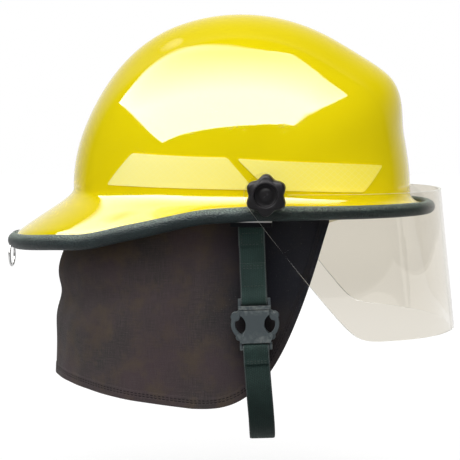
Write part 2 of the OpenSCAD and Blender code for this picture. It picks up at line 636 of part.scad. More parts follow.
// the brim's underside above the anchors, and the tab that lies against it
anchor_station = 17;
tab_w = 16;
leg_top = -4.4;
tab_gap = 0.8;
function under_brim(t) = brim_top(dome_point(anchor_station, 90, 0), shell_t, t) - [0, 0, tab_gap];
anchor_leg = strap_y + web_t / 2 + 0.1;
tab_in = under_brim(0.48);
tab_out = under_brim(0.8);
tab_slope = (tab_in.z - tab_out.z) / (tab_out.y - tab_in.y);
function tab_z(y) = tab_out.z + tab_slope * (tab_out.y - y);
rivet_y = anchor_leg - 3.2;
rivet_head = 2.2;
module anchor_rivet_at() {
    for (dx = [4, 12]) translate([strap_x - anchor_w / 2 + dx, rivet_y, tab_z(rivet_y)])
        rotate([-atan(tab_slope), 0, 0]) children();
}
module strap_anchors() {
    leg_out = anchor_leg + anchor_t;
    color(steel) both_sides() difference() {
        translate([strap_x - anchor_w / 2, 0, 0]) rotate([90, 0, 90]) {
            linear_extrude(tab_w) polygon([[leg_out, anchor_low], [anchor_leg, anchor_low],
                [anchor_leg, tab_z(anchor_leg) - anchor_t], [tab_in.y, tab_in.z - anchor_t], [tab_in.y, tab_in.z],
                [leg_out, tab_z(leg_out)]]);
            linear_extrude(anchor_w) translate([anchor_leg, anchor_low]) square([anchor_t, leg_top - anchor_low]);
        }
        anchor_rivet_at() cylinder(r = rivet_r + running, h = 6, center = true, $fn = 24);
    }
}
module anchor_rivets() {
    color(steel) both_sides() anchor_rivet_at() {
        translate([0, 0, -anchor_t - 0.4]) cylinder(r = rivet_r, h = anchor_t + 2.4, $fn = 24);
        translate([0, 0, -anchor_t - 0.9]) cylinder(r1 = rivet_head - 0.5, r2 = rivet_head, h = 0.85, $fn = 24);
    }
}
// a flat strap carried along a path across the helmet; the loop below the curtain is turned a little
function swing(p) = -(p.x + strap_y) * tan(strap_turn) * smooth(75, 150, -p.y);
module webbing(path) {
    n = len(path);
    function along(i) = unit(path[min(n - 1, i + 1)] - path[max(0, i - 1)]);
    bar([for (i = [0 : n - 1]) let (d = along(i), w = [-d.y, d.x] * web_t / 2, a = path[i] + w, b = path[i] - w,
        lo = swing(path[i]) - web_w / 2, hi = lo + web_w)
        [[lo, a.x, a.y], [hi, a.x, a.y], [hi, b.x, b.y], [lo, b.x, b.y]]]);
}
strap_top = leg_top;
// each half of the buckle has a bar that the webbing is looped round, with its sewn end on the outside
socket_top = 12;
socket_low = -11.8;
plug_low = socket_top + 0.6;
plug_top = plug_low + 2.6;
loop_slot = 2.8;
bar_h = 2.4;
bar_t = 3;
bar_turn_r = 2.95;
bar_u = web_w / 2 + 2.2;
sewn_gap = 0.15;
plug_bar = plug_top + loop_slot + bar_h / 2;
socket_bar = socket_low - loop_slot - bar_h / 2;
plug_sewn = 27;
socket_sewn = 16;
// path round a bar from the sewn end to the strap itself: up is 1 at the plug and -1 at the socket
function round_bar(at, up, sewn) = [for (p = concat([[-web_t - sewn_gap, sewn], [-web_t - sewn_gap, 8],
    [-bar_turn_r, 2.4]], [for (a = [0 : 30 : 180]) [-bar_turn_r * cos(a), -bar_turn_r * sin(a)]],
    [[bar_turn_r, 2.4], [0, 8]])) [p.x - strap_y, buckle_z + at + up * p.y]];
module strap_upper() {
    color(web_green) strap_frame() webbing(concat(round_bar(plug_bar, 1, plug_sewn), [[-strap_y, anchor_low],
        [-strap_y, strap_top]]));
}
bend_z = buckle_z - 36;
slide_z = -60;
function loop_point(a) = [-strap_y * signed_pow(cos(a), 0.6), bend_z + (strap_low_z - bend_z) * signed_pow(sin(a), 0.9)];
module strap_main() {
    color(web_green) strap_frame() webbing(concat(round_bar(socket_bar, -1, socket_sewn),
        [[-strap_y, bend_z]], [for (a = [9 : 9 : 171]) loop_point(a)],
        [for (z = [bend_z : 11 : slide_z - 14]) [strap_y, z]], [[strap_y, anchor_low], [strap_y, strap_top]]));
}
module strap_slide() {
    color(nylon_black) strap_frame() translate([0, strap_y, slide_z]) difference() {
        translate([-web_w / 2 - 3, -2.6, -9]) cube([web_w + 6, 5.2, 18]);
        translate([-web_w / 2 - 0.3, -web_t / 2 - 0.3, -20]) cube([web_w + 0.6, web_t + 0.6, 40]);
        for (s = [-1, 1]) translate([-web_w / 2 - 0.3, -5, s * 4.2 - 1.6]) cube([web_w + 0.6, 10, 3.2]);
    }
}

// side-release buckle, in the strap's frame: across, thickness, height
arc_u = 5.6;
arc_w = 2;
arc_r = 10.4;
prong_t = 3;
prong_y = 4.6;
hinge_a = 78;
module buckle_frame() {
    strap_frame() translate([0, -strap_y, buckle_z]) rotate([90, 0, 0]) children();
}
module prong_2d(grow) {
    difference() {
        translate([arc_u, arc_w]) circle(r = arc_r + prong_t / 2 + grow);
        translate([arc_u, arc_w]) circle(r = arc_r - prong_t / 2 - grow);
        translate([-30 + arc_u - grow, -30]) square([30, 60]);
        translate([arc_u, arc_w]) rotate(hinge_a + 1 + 5 * grow) square([40, 40]);
    }
    translate([arc_u + (arc_r + 1) * cos(-56), arc_w + (arc_r + 1) * sin(-56)]) circle(r = 2.4 + grow);
    translate([arc_u + (arc_r - 0.2) * cos(34), arc_w + (arc_r - 0.2) * sin(34)]) circle(r = 3.4 + grow);
}
module prong() {
    translate([0, 0, -prong_y / 2]) linear_extrude(prong_y) prong_2d(0);
}
module prong_right() {
    color(nylon_black) buckle_frame() prong();
}
module prong_left() {
    color(nylon_black) buckle_frame() mirror([1, 0, 0]) prong();
}
hinge_u = arc_u + arc_r * cos(hinge_a);
hinge_w = arc_w + arc_r * sin(hinge_a);
module swept_prong() {
    for (s = [0, squeeze / 2, squeeze + 0.5]) translate([hinge_u, hinge_w]) rotate(-s)
        translate([-hinge_u, -hinge_w]) prong_2d(0.35);
}
// posts and bar for a webbing loop, going up or down from a place on the buckle
module web_bar(at, up) {
    translate([0, at, -bar_t / 2]) mirror([0, up > 0 ? 0 : 1, 0]) difference() {
        translate([-bar_u, -0.2, 0]) cube([2 * bar_u, loop_slot + bar_h + 0.2, bar_t]);
        translate([-web_w / 2 - 0.3, 0, -1]) cube([web_w + 0.6, loop_slot, bar_t + 2]);
    }
}
module prong_spaces(gap) {
    for (m = [0, 1]) mirror([m, 0, 0]) translate([0, 0, -prong_y / 2 - gap]) linear_extrude(prong_y + 2 * gap)
        swept_prong();
}
module buckle_plug() {
    color(nylon_black) buckle_frame() {
        difference() {
            union() {
                translate([-bar_u, plug_low, -buckle_t / 2]) cube([2 * bar_u, plug_top - plug_low, buckle_t]);
                translate([-2.2, 2, -1.2]) cube([4.4, plug_low - 1.9, 2.4]);
            }
            prong_spaces(0.2);
        }
        web_bar(plug_top, 1);
    }
}
window_u = 14.8;
window_r = 8.2;
panel_u = 10.8;
foot_u = 13.4;
module buckle_socket() {
    color([0.28, 0.31, 0.34]) buckle_frame() {
        difference() {
            translate([0, 0, -buckle_t / 2]) linear_extrude(buckle_t) {
                difference() {
                    translate([-panel_u, socket_low]) square([2 * panel_u, socket_top - socket_low]);
                    for (s = [-1, 1]) translate([s * window_u, arc_w - 0.5]) circle(r = window_r);
                }
                polygon([[-foot_u, -5.2], [foot_u, -5.2], [panel_u, socket_low], [-panel_u, socket_low]]);
            }
            translate([-2.7, 1.4, -1.7]) cube([5.4, socket_top, 3.4]);
            prong_spaces(0.3);
        }
        web_bar(socket_low, -1);
    }
}

// hanging ring at the rear edge, in the rolled end of a steel strip bent over the beading
clip_w = 12;
curl_w = 4;
clip_t = 0.8;
clip_reach = 17;
clip_lift = 0.15;
tail_edge = edge_point(dome_point(half, 90, 0));
tail_dir = edge_dir(dome_point(half, 90, 0));
tail_a = atan2(tail_dir.z, -tail_dir.x);
bead_x = bead_out;
bead_z = -shell_t / 2;
over_r = bead_r + 0.2;
curl_r = wire_r + 0.35;
curl_at = [bead_x + (over_r + clip_t / 2 + curl_r + 0.6) * cos(184), bead_z + (over_r + clip_t / 2 + curl_r + 0.6) * sin(184)];
function polar(r, a) = [bead_x + r * cos(a), bead_z + r * sin(a)];
function over(a0, a1) = concat([for (i = [0 : 8]) polar(over_r + clip_t, mix(a0, a1, i / 8))],
    [for (i = [8 : -1 : 0]) polar(over_r, mix(a0, a1, i / 8))]);
module tail_frame() {
    translate(tail_edge) rotate([0, tail_a, 0]) children();
}
module clip_slab(w) {
    rotate([90, 0, 0]) translate([0, 0, -w / 2]) linear_extrude(w) children();
}
module hanger_rivet_at() {
    tail_frame() for (y = [-3, 3]) translate([13, y, 0]) children();
}
module hanger_clip() {
    color(steel) difference() {
        tail_frame() {
            clip_slab(clip_w) {
                translate([9, clip_lift]) square([clip_reach - 9, clip_t]);
                polygon([[9.1, clip_lift], [9.1, clip_lift + clip_t], polar(over_r + clip_t, 50), polar(over_r, 50)]);
                polygon(over(50, 120));
            }
            clip_slab(curl_w) {
                polygon(over(119, 184));
                translate(curl_at) difference() {
                    circle(r = curl_r + clip_t);
                    circle(r = curl_r);
                }
            }
        }
        hanger_rivet_at() translate([0, 0, -4]) cylinder(r = rivet_r + running, h = 12, $fn = 24);
    }
}
module hanger_rivets() {
    color(steel) hanger_rivet_at() translate([0, 0, -shell_t - 1]) {
        cylinder(r = rivet_r, h = shell_t + 1 + clip_lift + clip_t, $fn = 24);
        translate([0, 0, -0.6]) cylinder(r = 2.6, h = 1, $fn = 24);
        translate([0, 0, shell_t + 1 + clip_lift + clip_t]) cylinder(r1 = 2.6, r2 = 1.8, h = 0.8, $fn = 24);
    }
}
function from_tail(p) = [tail_edge.x + p.x * cos(tail_a) + p.y * sin(tail_a),
                         tail_edge.z - p.x * sin(tail_a) + p.y * cos(tail_a)];
ring_top = from_tail(curl_at);
module hanging_ring() {
    color(steel) translate([ring_top.x, 0, ring_top.y - ring_r]) rotate([0, 90, 0])
        rotate_extrude($fn = 64) translate([ring_r, 0]) circle(r = wire_r, $fn = 16);
}

outer_shell();
edge_trim();
reflective_panels();
pivot_brackets();
bracket_screws();
pivot_studs();
stud_nuts();
face_shield();
friction_washers();
knob_right();
knob_left();
insert_right();
insert_left();
impact_liner();
crown_straps();
crown_pad();
suspension_keys();
headband();
brow_pad();
ratchet_housing();
fitting_knob();
fitting_pinion();
band_tail_right();
band_tail_left();
nape_pad();
curtain_strip();
ear_neck_curtain();
strap_anchors();
anchor_rivets();
strap_upper();
buckle_plug();
prong_right();
prong_left();
buckle_socket();
strap_main();
strap_slide();
hanger_clip();
hanger_rivets();
hanging_ring();
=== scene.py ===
import math

import bmesh
import bpy
import numpy as np
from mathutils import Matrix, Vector


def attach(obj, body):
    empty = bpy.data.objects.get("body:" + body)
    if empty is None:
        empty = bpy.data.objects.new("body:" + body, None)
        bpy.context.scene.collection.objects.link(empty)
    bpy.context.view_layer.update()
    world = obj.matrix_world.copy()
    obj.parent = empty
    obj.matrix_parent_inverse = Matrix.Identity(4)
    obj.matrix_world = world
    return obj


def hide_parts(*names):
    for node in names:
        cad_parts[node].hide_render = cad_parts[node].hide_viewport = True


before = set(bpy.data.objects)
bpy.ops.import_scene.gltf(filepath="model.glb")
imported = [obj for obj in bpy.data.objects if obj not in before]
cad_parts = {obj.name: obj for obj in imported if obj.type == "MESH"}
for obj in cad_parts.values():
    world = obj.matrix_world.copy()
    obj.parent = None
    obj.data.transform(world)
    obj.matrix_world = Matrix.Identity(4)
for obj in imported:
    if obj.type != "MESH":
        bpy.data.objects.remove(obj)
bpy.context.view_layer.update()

# Everything below is in millimetres until a mesh is made. The front of the helmet points along +X,
# the wearer's left along +Y, and the origin is the centre of the headband.
MM = 0.001

# The source's own sizes, but for these, which follow the photo more closely: the crest's, the brim's swell and end,
# the edge's raise, the beading's spread, the panels' corners, the curtain's front, lowest height and hem, and how far
# the strap swings forward.
DOME_HALF_W, BASE_Z, DOME_X, DOME_R = 106.0, 14.0, 16.0, 130.0
CORNER_OUT, CORNER_AT, CORNER_WIDE, SHELL_T = 8.0, 33, 13, 3.0
SECTION_P, SPINE, FAN, HALF, STATIONS = 2.25, 70.0, 12, 36, 72
CREST_H, CREST_HALF_W, CREST_FLANK = 6.8, 12.0, 42.0
BRIM_FRONT, BRIM_REAR, BRIM_HALF_W = 166.0, 165.0, 129.0
EDGE_X, EDGE_IN, EDGE_FRONT_Z, EDGE_DROP, TAIL_DROP, EDGE_RAISE = 10.0, 8.0, 2.0, 24.0, 4.0, 2.4
FILLET, BRIM_SWELL, BRIM_END = 7.0, 5.0, 3.0
BEAD_R, BEAD_OUT, BEAD_SPREAD, SLOT_IN, SLOT_GAP = 5.4, 1.0, 0.08, 5.0, 0.2
PANEL_T, PANEL_LIFT, PANEL_SUNK, PANEL_CORNER_R, PANEL_SPHERE_R, PANEL_PLAN_R = 0.45, 0.3, 0.02, 2.0, 125.0, 118.0
PIVOT_X, PIVOT_Z, EAR_R = 42.5, 14.4, 16.0
SHIELD_HALF_W, SHIELD_REACH, SHIELD_LEAN, SHIELD_T, SHIELD_P = 137.0, 131.5, 11.0, 2.5, 2.3
SHIELD_TOP_Z, SHIELD_BOTTOM_Z, SHIELD_SIDE_LOW, SLANT, SHIELD_TURN = 13.5, -92.5, -91.3, 52.6, 5.0
KNOB_IN, KNOB_BORE_R, LOBE_R, LOBE_OUT, SHOULDER_R, KNOB_RECESS_R = 138.2, 3.05, 12.4, 2.6, 2.6, 8.3
LINER_T, LINER_OUT = 12.0, SHELL_T + 0.4
CURTAIN_FRONT, CURTAIN_LOW_Z, CURTAIN_T, CURTAIN_BULGE = 87.5, -145.0, 2.0, 13.0
CURTAIN_TOP_Z, CURTAIN_IN = 0.0, LINER_OUT - CURTAIN_T - 0.9
HEM_BACK, HEM_UP, HEM_FRONT_Z, HEM_RISE, HEM_RISE_OVER, HEM_SEAMS = 14.0, 7.5, -6.0, 11.5, 86.0, (1.5, 3.2)
BAND_X, BAND_R, BAND_FRONT, BAND_LOW, BAND_H = -20.0, 76.0, 116.0, -4.0, 26.0
CROWN_X, CROWN_Z, CROWN_R, CROWN_TURN = -7.0, 20.0, 86.8, 50.0
PAD_R, PAD_RIM, NAPE_R, GEAR_Z = 22.6, 1.4, 73.1, -30.0
WEB_W, WEB_T = 19.0, 1.6
STRAP_X, STRAP_Y, STRAP_LOW_Z, BUCKLE_Z = 30.5, 114.0, -178.0, -82.0
# The last value on the next line is the height below which the strap anchors' plate is painted near black, a painted
# shade.
ANCHOR_LOW, LEG_TOP, LEAN, STRAP_TURN, STRAP_FORWARD, PAINTED_SHADE_Z = -9.6, -4.4, 2.4, 4.0, 2.5, -6.3
PLUG_BAR, SOCKET_BAR, BAR_TURN_R, SEWN_GAP = 19.2, -15.8, 2.95, 0.15
BEND_Z = BUCKLE_Z - 36
RING_X, RING_Z, RING_R, WIRE_R = -169.712, -31.4236, 9.0, 1.0


# Arithmetic of the surfaces

def smooth(a, b, v):
    """0 before a, 1 after b, and 3t^2 - 2t^3 between them."""
    t = np.clip((v - a) / (b - a), 0, 1)
    return t * t * (3 - 2 * t)


def bell(v, middle, width):
    """1 at the middle, falling off to both sides."""
    return np.exp(-((v - middle) / width) ** 2)


def mix(a, b, t):
    """a at t = 0, b at t = 1, in a straight line."""
    return a * (1 - t) + b * t


def turn(count):
    """Angles round a circle."""
    return np.linspace(0, 2 * np.pi, count, endpoint=False)


def arc(low, high, count):
    """Angles between two that are given in degrees."""
    return np.radians(np.linspace(low, high, count))


def unit(v):
    """v over its length, along the last axis."""
    return v / np.maximum(np.linalg.norm(v, axis=-1, keepdims=True), 1e-12)


def stack(*parts):
    """Arrays and numbers put together as points."""
    return np.stack(np.broadcast_arrays(*parts), axis=-1)


def signed_pow(v, e):
    """The power e of the size of v, with the sign of v."""
    return np.sign(v) * np.abs(v) ** e


def oval(t, a, b, p, q):
    """Points of |x / a|^p + |y / b|^q = 1."""
    return stack(a * signed_pow(np.cos(t), 2 / p), b * signed_pow(np.sin(t), 2 / q))


def side_radius(a):
    """Side view: the dome's radius plus a share of cos^2, plus a bell that makes the front corner."""
    c = np.cos(np.radians(a))
    return DOME_R + np.where(c > 0, 4, 3) * c ** 2 + CORNER_OUT * bell(a, CORNER_AT, CORNER_WIDE)


def crest(a, y):
    """Height of the crest band: a flat top with smooth flanks, which half way down pass where the source's shorter
    ones do, and which run out softly down the back."""
    flank = 1 - smooth(CREST_HALF_W, CREST_HALF_W + CREST_FLANK, np.abs(y))
    return CREST_H * smooth(18, 38, a) * (1 - smooth(112, 158, a)) * flank


def dome(direction, inset, crested=1.0):
    """The point in a direction where (|y| / half width)^p + (r / side radius)^p = 1, less the inset, plus the crest."""
    n = unit(direction)
    r2 = np.hypot(n[..., 0], n[..., 2])
    a = np.degrees(np.arctan2(n[..., 2], n[..., 0]))
    r = ((np.abs(n[..., 1]) / DOME_HALF_W) ** SECTION_P + (r2 / side_radius(a)) ** SECTION_P) ** (-1 / SECTION_P)
    return np.array([DOME_X, 0, BASE_Z]) + n * (r - inset + crested * crest(a, r * n[..., 1]))[..., None]


def dome_point(k, lat, inset, crested=1.0):
    """Station k (0 to STATIONS, front over the left), lat degrees down from the spine: the dome in the direction of a
    point of a long round-ended roof, with its spine SPINE either way."""
    f = np.where(k <= HALF, k, STATIONS - k) / FAN
    side = np.where(k <= HALF, 1.0, -1.0)
    a = np.radians(90 * (np.clip(f, 0, 1) + np.clip(f - 2, 0, 1)))
    s = SPINE * np.clip(3 - 2 * f, -1, 1)
    lat = np.radians(lat)
    out = DOME_HALF_W * np.sin(lat)
    stretch = (np.hypot(s, DOME_HALF_W) / DOME_HALF_W) ** np.cos(lat)
    way = stack(s + out * np.cos(a), side * out * np.sin(a) * stretch, DOME_HALF_W * np.cos(lat))
    return dome(way, inset, crested)


def stations(count):
    """Even stations round the shell, and the dome's base at them."""
    k = np.linspace(0, STATIONS, count, endpoint=False)
    return k, dome_point(k, 90.0, 0)


def edge_z(x):
    """Height of the shell's edge: level in front, then two smooth falls towards the nape, the first of them held up
    a little at the sides."""
    held = EDGE_RAISE * (smooth(0, 40, 26 - x) - smooth(60, 100, -x))
    return EDGE_FRONT_Z - EDGE_DROP * smooth(0, 150, 40 - x) - TAIL_DROP * smooth(0, 70, -100 - x) + held


def edge_frame(b):
    """The dome's base stretched about EDGE_X to the brim's reach, at the edge's height; the direction out of the brim
    there, and the brim's upward normal."""
    u = (b[..., 0] - DOME_X) / side_radius(np.where(b[..., 0] > DOME_X, 0.0, 180.0))
    x = EDGE_X + u * np.where(u > 0, BRIM_FRONT - EDGE_X, BRIM_REAR + EDGE_X)
    e = stack(x, b[..., 1] / DOME_HALF_W * BRIM_HALF_W, edge_z(x))
    d = unit(e - (b - np.array([0, 0, FILLET + 2])))
    return e, d, unit(np.array([0, 0, 1.0]) - d * d[..., 2:3])


def brim_top(b, inset, t):
    """A cubic from the dome's base down into the brim: two points down the wall and two along the brim. Behind, the
    last two stand BRIM_SWELL and BRIM_END mm higher, so that the brim is fuller there, but for a seat for the clip."""
    e, d, up = edge_frame(b)
    p0 = b - unit(stack(b[..., 0] - DOME_X, b[..., 1], 0)) * inset
    p1 = p0 - np.array([0, 0, FILLET])
    rear = up * (smooth(-10, 50, -b[..., 0]) * smooth(7, 18, np.abs(b[..., 1])))[..., None]
    flat = e - d * EDGE_IN - up * inset
    p2 = mix(flat, b - np.array([0, 0, FILLET + 2]) - up * inset, 0.5) + rear * BRIM_SWELL
    p3 = flat + rear * BRIM_END
    return p0 * (1 - t) ** 3 + p1 * 3 * t * (1 - t) ** 2 + p2 * 3 * t ** 2 * (1 - t) + p3 * t ** 3


# Meshes from arrays of points

def in_scene(name, data):
    """An object with this data, in the scene."""
    obj = bpy.data.objects.new(name, data)
    bpy.context.scene.collection.objects.link(obj)
    return obj


def shade(mesh, soft_angle):
    """Smooth faces, with edges sharper than soft_angle left sharp."""
    mesh.polygons.foreach_set("use_smooth", np.ones(len(mesh.polygons), bool))
    mesh.set_sharp_from_angle(angle=math.radians(soft_angle))


def object_from(name, points, faces, uv=None, soft_angle=40.0):
    """A mesh object at the origin from points in mm and faces."""
    mesh = bpy.data.meshes.new(name)
    mesh.from_pydata((np.asarray(points) * MM).tolist(), [], [list(map(int, f)) for f in faces])
    if uv is not None:
        loops = np.zeros(len(mesh.loops), np.int32)
        mesh.loops.foreach_get("vertex_index", loops)
        mesh.uv_layers.new(name="UVMap").data.foreach_set("uv", np.asarray(uv, np.float32)[loops].ravel())
    mesh.validate()
    shade(mesh, soft_angle)
    return in_scene(name, mesh)


def merge(obj, dist=1e-6):
    """Merges doubles and turns the faces outward."""
    bm = bmesh.new()
    bm.from_mesh(obj.data)
    bmesh.ops.remove_doubles(bm, verts=bm.verts, dist=dist)
    bmesh.ops.dissolve_degenerate(bm, edges=bm.edges, dist=dist)
    bmesh.ops.recalc_face_normals(bm, faces=bm.faces)
    bm.to_mesh(obj.data)
    bm.free()
    return obj


def grid_faces(m, n, wrap_u=False, wrap_v=False):
    """Quads of an m by n grid of points, joined round either way if wanted."""
    i, j = np.meshgrid(np.arange(m if wrap_u else m - 1), np.arange(n if wrap_v else n - 1), indexing="ij")
    i2, j2 = (i + 1) % m, (j + 1) % n
    return np.stack([i * n + j, i * n + j2, i2 * n + j2, i2 * n + j], -1).reshape(-1, 4)


def grid_object(name, points, wrap_u=False, uv=None, soft_angle=40.0):
    """A surface from a grid of points (m, n, 3) that is joined round along n, and along m if wanted."""
    m, n = points.shape[:2]
    uv = None if uv is None else uv.reshape(-1, 2)
    return merge(object_from(name, points.reshape(-1, 3), grid_faces(m, n, wrap_u, True), uv, soft_angle))


def slab(name, front, back, uv=None, soft_angle=40.0):
    """A closed sheet between two grids of the same shape; uv is that of the grid, in metres."""
    m, n = front.shape[:2]
    i, j = np.arange(m) * n, np.arange(n)
    i, j = np.stack([i[:-1], i[1:]], -1), np.stack([j[:-1], j[1:]], -1)
    rim = np.concatenate([i[:, ::-1], i + n - 1, j, (j + (m - 1) * n)[:, ::-1]])
    faces = grid_faces(m, n)
    faces = np.concatenate([faces, faces[:, ::-1] + m * n, np.concatenate([rim, rim[:, ::-1] + m * n], 1)])
    if uv is not None:
        uv = np.concatenate([uv.reshape(-1, 2)] * 2)
    points = np.concatenate([front.reshape(-1, 3), back.reshape(-1, 3)])
    return merge(object_from(name, points, faces, uv, soft_angle))


def lengths(points):
    """Distance along a line of points, from its first."""
    return np.concatenate([[0], np.cumsum(np.linalg.norm(np.diff(points, axis=0), axis=1))])


def interp(to, at, values):
    """Points read off along a line, by distance."""
    return np.stack([np.interp(to, at, values[:, i]) for i in range(3)], -1)


def resample(points, count):
    """The same line with count points at even distances."""
    at = lengths(points)
    return interp(np.linspace(0, at[-1], count), at, points)


def square_to(path, across):
    """Along a path, the direction across made square to it, and the direction square to both."""
    tangent = unit(np.gradient(path, axis=0))
    across = unit(across - (across * tangent).sum(-1, keepdims=True) * tangent)
    return across, np.cross(tangent, across)


def sweep(name, path, across, outline):
    """An outline (points across, out) carried along a path. Both ends are closed."""
    across, out = square_to(path, across)
    rows = path[:, None] + across[:, None] * outline[:, 0, None] + out[:, None] * outline[:, 1, None]
    m, n = rows.shape[:2]
    faces = [*grid_faces(m, n, False, True), np.arange(n)[::-1], np.arange(n) + (m - 1) * n]
    uv = stack(outline[:, 0], lengths(path)[:, None]) * MM
    return merge(object_from(name, rows.reshape(-1, 3), faces, uv.reshape(-1, 2)))


def web_outline(width=WEB_W, thick=WEB_T):
    """Section of webbing, flat with round selvedges."""
    return oval(turn(40), width / 2, thick / 2, 12, 2.2)


def join(name, objects):
    """Several objects as one mesh."""
    bm = bmesh.new()
    for o in objects:
        bm.from_mesh(o.data)
        bpy.data.objects.remove(o)
    mesh = bpy.data.meshes.new(name)
    bm.to_mesh(mesh)
    bm.free()
    shade(mesh, 40)
    return in_scene(name, mesh)


def stitches(name, lines, length, thick, gap=0.6):
    """Thread along lines of (points, normals): each stitch is a low bead, an ellipsoid of 8 by 5 points."""
    u, v = np.meshgrid(turn(8), np.linspace(0, np.pi, 5), indexing="ij")
    bead = stack(np.cos(v) * length / 2, np.sin(v) * np.cos(u) * thick, np.sin(v) * np.sin(u) * thick * 0.8)
    points = []
    for line, normals in lines:
        at = lengths(line)
        to = np.arange(length / 2 + 0.5, at[-1] - length / 2, length + gap)
        up, along = unit(interp(to, at, normals)), unit(interp(to, at, np.gradient(line, at, axis=0)))
        own_axes = np.stack([along, np.cross(up, along), up], 1)[:, None]
        points.append(interp(to, at, line)[:, None, None] + bead @ own_axes)
    points = np.concatenate(points)
    faces = grid_faces(8, 5, True) + 40 * np.arange(len(points))[:, None, None]
    return merge(object_from(name, points.reshape(-1, 3), faces.reshape(-1, 4)))


def soften(obj, width, segments=2, angle=50.0):
    """A small round along a piece's sharp edges."""
    mod = obj.modifiers.new("rounded edges", "BEVEL")
    mod.width, mod.segments, mod.limit_method, mod.angle_limit = width * MM, segments, "ANGLE", math.radians(angle)
    return obj


def rounded_copy(node, width):
    """A CAD node's shape with its flat faces joined up and its edges rounded."""
    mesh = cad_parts[node].data.copy()
    mesh.materials.clear()
    bm = bmesh.new()
    bm.from_mesh(mesh)
    bmesh.ops.remove_doubles(bm, verts=bm.verts, dist=2e-6)
    bmesh.ops.dissolve_limit(bm, angle_limit=math.radians(1.0), verts=bm.verts, edges=bm.edges)
    bm.to_mesh(mesh)
    bm.free()
    shade(mesh, 30)
    return soften(in_scene(node + "_body", mesh), width, angle=35.0)


# Materials

class Net:
    """A node tree by short calls. Each input takes a number, a colour or a socket to link."""

    def __init__(self, tree):
        self.tree = tree

    def put(self, socket, value):
        if isinstance(value, bpy.types.NodeSocket):
            self.tree.links.new(value, socket)
        else:
            socket.default_value = (*value, 1) if socket.type == "RGBA" else value

    def node(self, kind, inputs=(), **settings):
        n = self.tree.nodes.new("ShaderNode" + kind)
        for key, value in settings.items():
            setattr(n, key, value)
        for key, value in dict(inputs).items():
            self.put(n.inputs[key], value)
        return n

    def math(self, operation, *values):
        return self.node("Math", enumerate(values), operation=operation).outputs[0]

    def mul(self, a, b, plus=None):
        return self.math("MULTIPLY", a, b) if plus is None else self.math("MULTIPLY_ADD", a, b, plus)

    def wave(self, value):
        return self.math("ABSOLUTE", self.math("SINE", value))

    def vector_math(self, operation, **inputs):
        return self.node("VectorMath", inputs, operation=operation)

    def coordinates(self, kind):
        return self.node("TexCoord").outputs[kind]

    def axes(self, vector):
        return self.node("SeparateXYZ", {0: vector}).outputs

    def scaled(self, vector, scale, angle=0.0):
        return self.node("Mapping", {"Vector": vector, "Scale": scale, "Rotation": (0, 0, angle)}).outputs["Vector"]

    def noise(self, vector, scale, detail=3.0, roughness=0.55, out="Fac"):
        inputs = {"Vector": vector, "Scale": scale, "Detail": detail, "Roughness": roughness}
        return self.node("TexNoise", inputs).outputs[out]

    def cells(self, vector, scale, feature="F1", randomness=1.0):
        inputs = {"Vector": vector, "Scale": scale, "Randomness": randomness}
        return self.node("TexVoronoi", inputs, feature=feature).outputs["Distance"]

    def ramp(self, value, low, high, out_low=0.0, out_high=1.0):
        inputs = {"Value": value, "From Min": low, "From Max": high, "To Min": out_low, "To Max": out_high}
        return self.node("MapRange", inputs, clamp=True).outputs["Result"]

    def blend(self, factor, a, b):
        return self.node("Mix", {0: factor, 6: a, 7: b}, data_type="RGBA").outputs[2]

    # Scales a colour's value; the materials use it for painted light and shade.
    def lit(self, colour, value):
        return self.node("HueSaturation", {"Color": colour, "Value": value}).outputs["Color"]

    def place(self, tree, vector, **values):
        inputs = {key.replace("_", " "): value for key, value in values.items()}
        return self.node("Group", {"Vector": vector, **inputs}, node_tree=tree).outputs


class Material(Net):
    """A material: its net, its Principled shader and p, the object's coordinates."""

    def __init__(self, name, **constants):
        self.made = bpy.data.materials.new(name)
        self.made.use_nodes = True
        super().__init__(self.made.node_tree)
        self.shader = self.tree.nodes["Principled BSDF"]
        self.p = self.coordinates("Object")
        for key, value in constants.items():
            self.put(self.shader.inputs[key.replace("_", " ")], value)

    def finish(self, colour, roughness=None, height=None, strength=0.0, distance=0.0):
        """Feeds the shader's colour, roughness and, through a bump, its normal."""
        self.put(self.shader.inputs["Base Color"], colour)
        if roughness is not None:
            self.put(self.shader.inputs["Roughness"], roughness)
        if height is not None:
            bump = self.node("Bump", {"Strength": strength, "Distance": distance, "Height": height})
            self.put(self.shader.inputs["Normal"], bump.outputs["Normal"])
        return self.made

    def patches(self, a, b, scale, low, high, detail=3.0, roughness=0.55):
        """Two tones in patches."""
        return self.blend(self.ramp(self.noise(self.p, scale, detail, roughness), low, high), a, b)

    def dusty(self, tone, amount, colour):
        return self.blend(self.place(DUST, self.p, Amount=amount)["Dust"], tone, colour)

    def surface(self, kind, inputs):
        """Puts a shader node between what the material has and its output."""
        both = self.node(kind, inputs)
        self.put(self.tree.nodes["Material Output"].inputs["Surface"], both.outputs[0])


def group(name, inputs, outputs, build):
    """A shader node group with a vector and float inputs, with their first values, and float outputs."""
    tree = bpy.data.node_groups.new(name, "ShaderNodeTree")
    tree.interface.new_socket("Vector", in_out="INPUT", socket_type="NodeSocketVector")
    for key, value in inputs.items():
        tree.interface.new_socket(key, in_out="INPUT", socket_type="NodeSocketFloat").default_value = value
    for key in outputs:
        tree.interface.new_socket(key, in_out="OUTPUT", socket_type="NodeSocketFloat")
    t = Net(tree)
    given, end = tree.nodes.new("NodeGroupInput").outputs, tree.nodes.new("NodeGroupOutput").inputs
    for key, socket in zip(outputs, build(t, given["Vector"], given)):
        t.put(end[key], socket)
    return tree


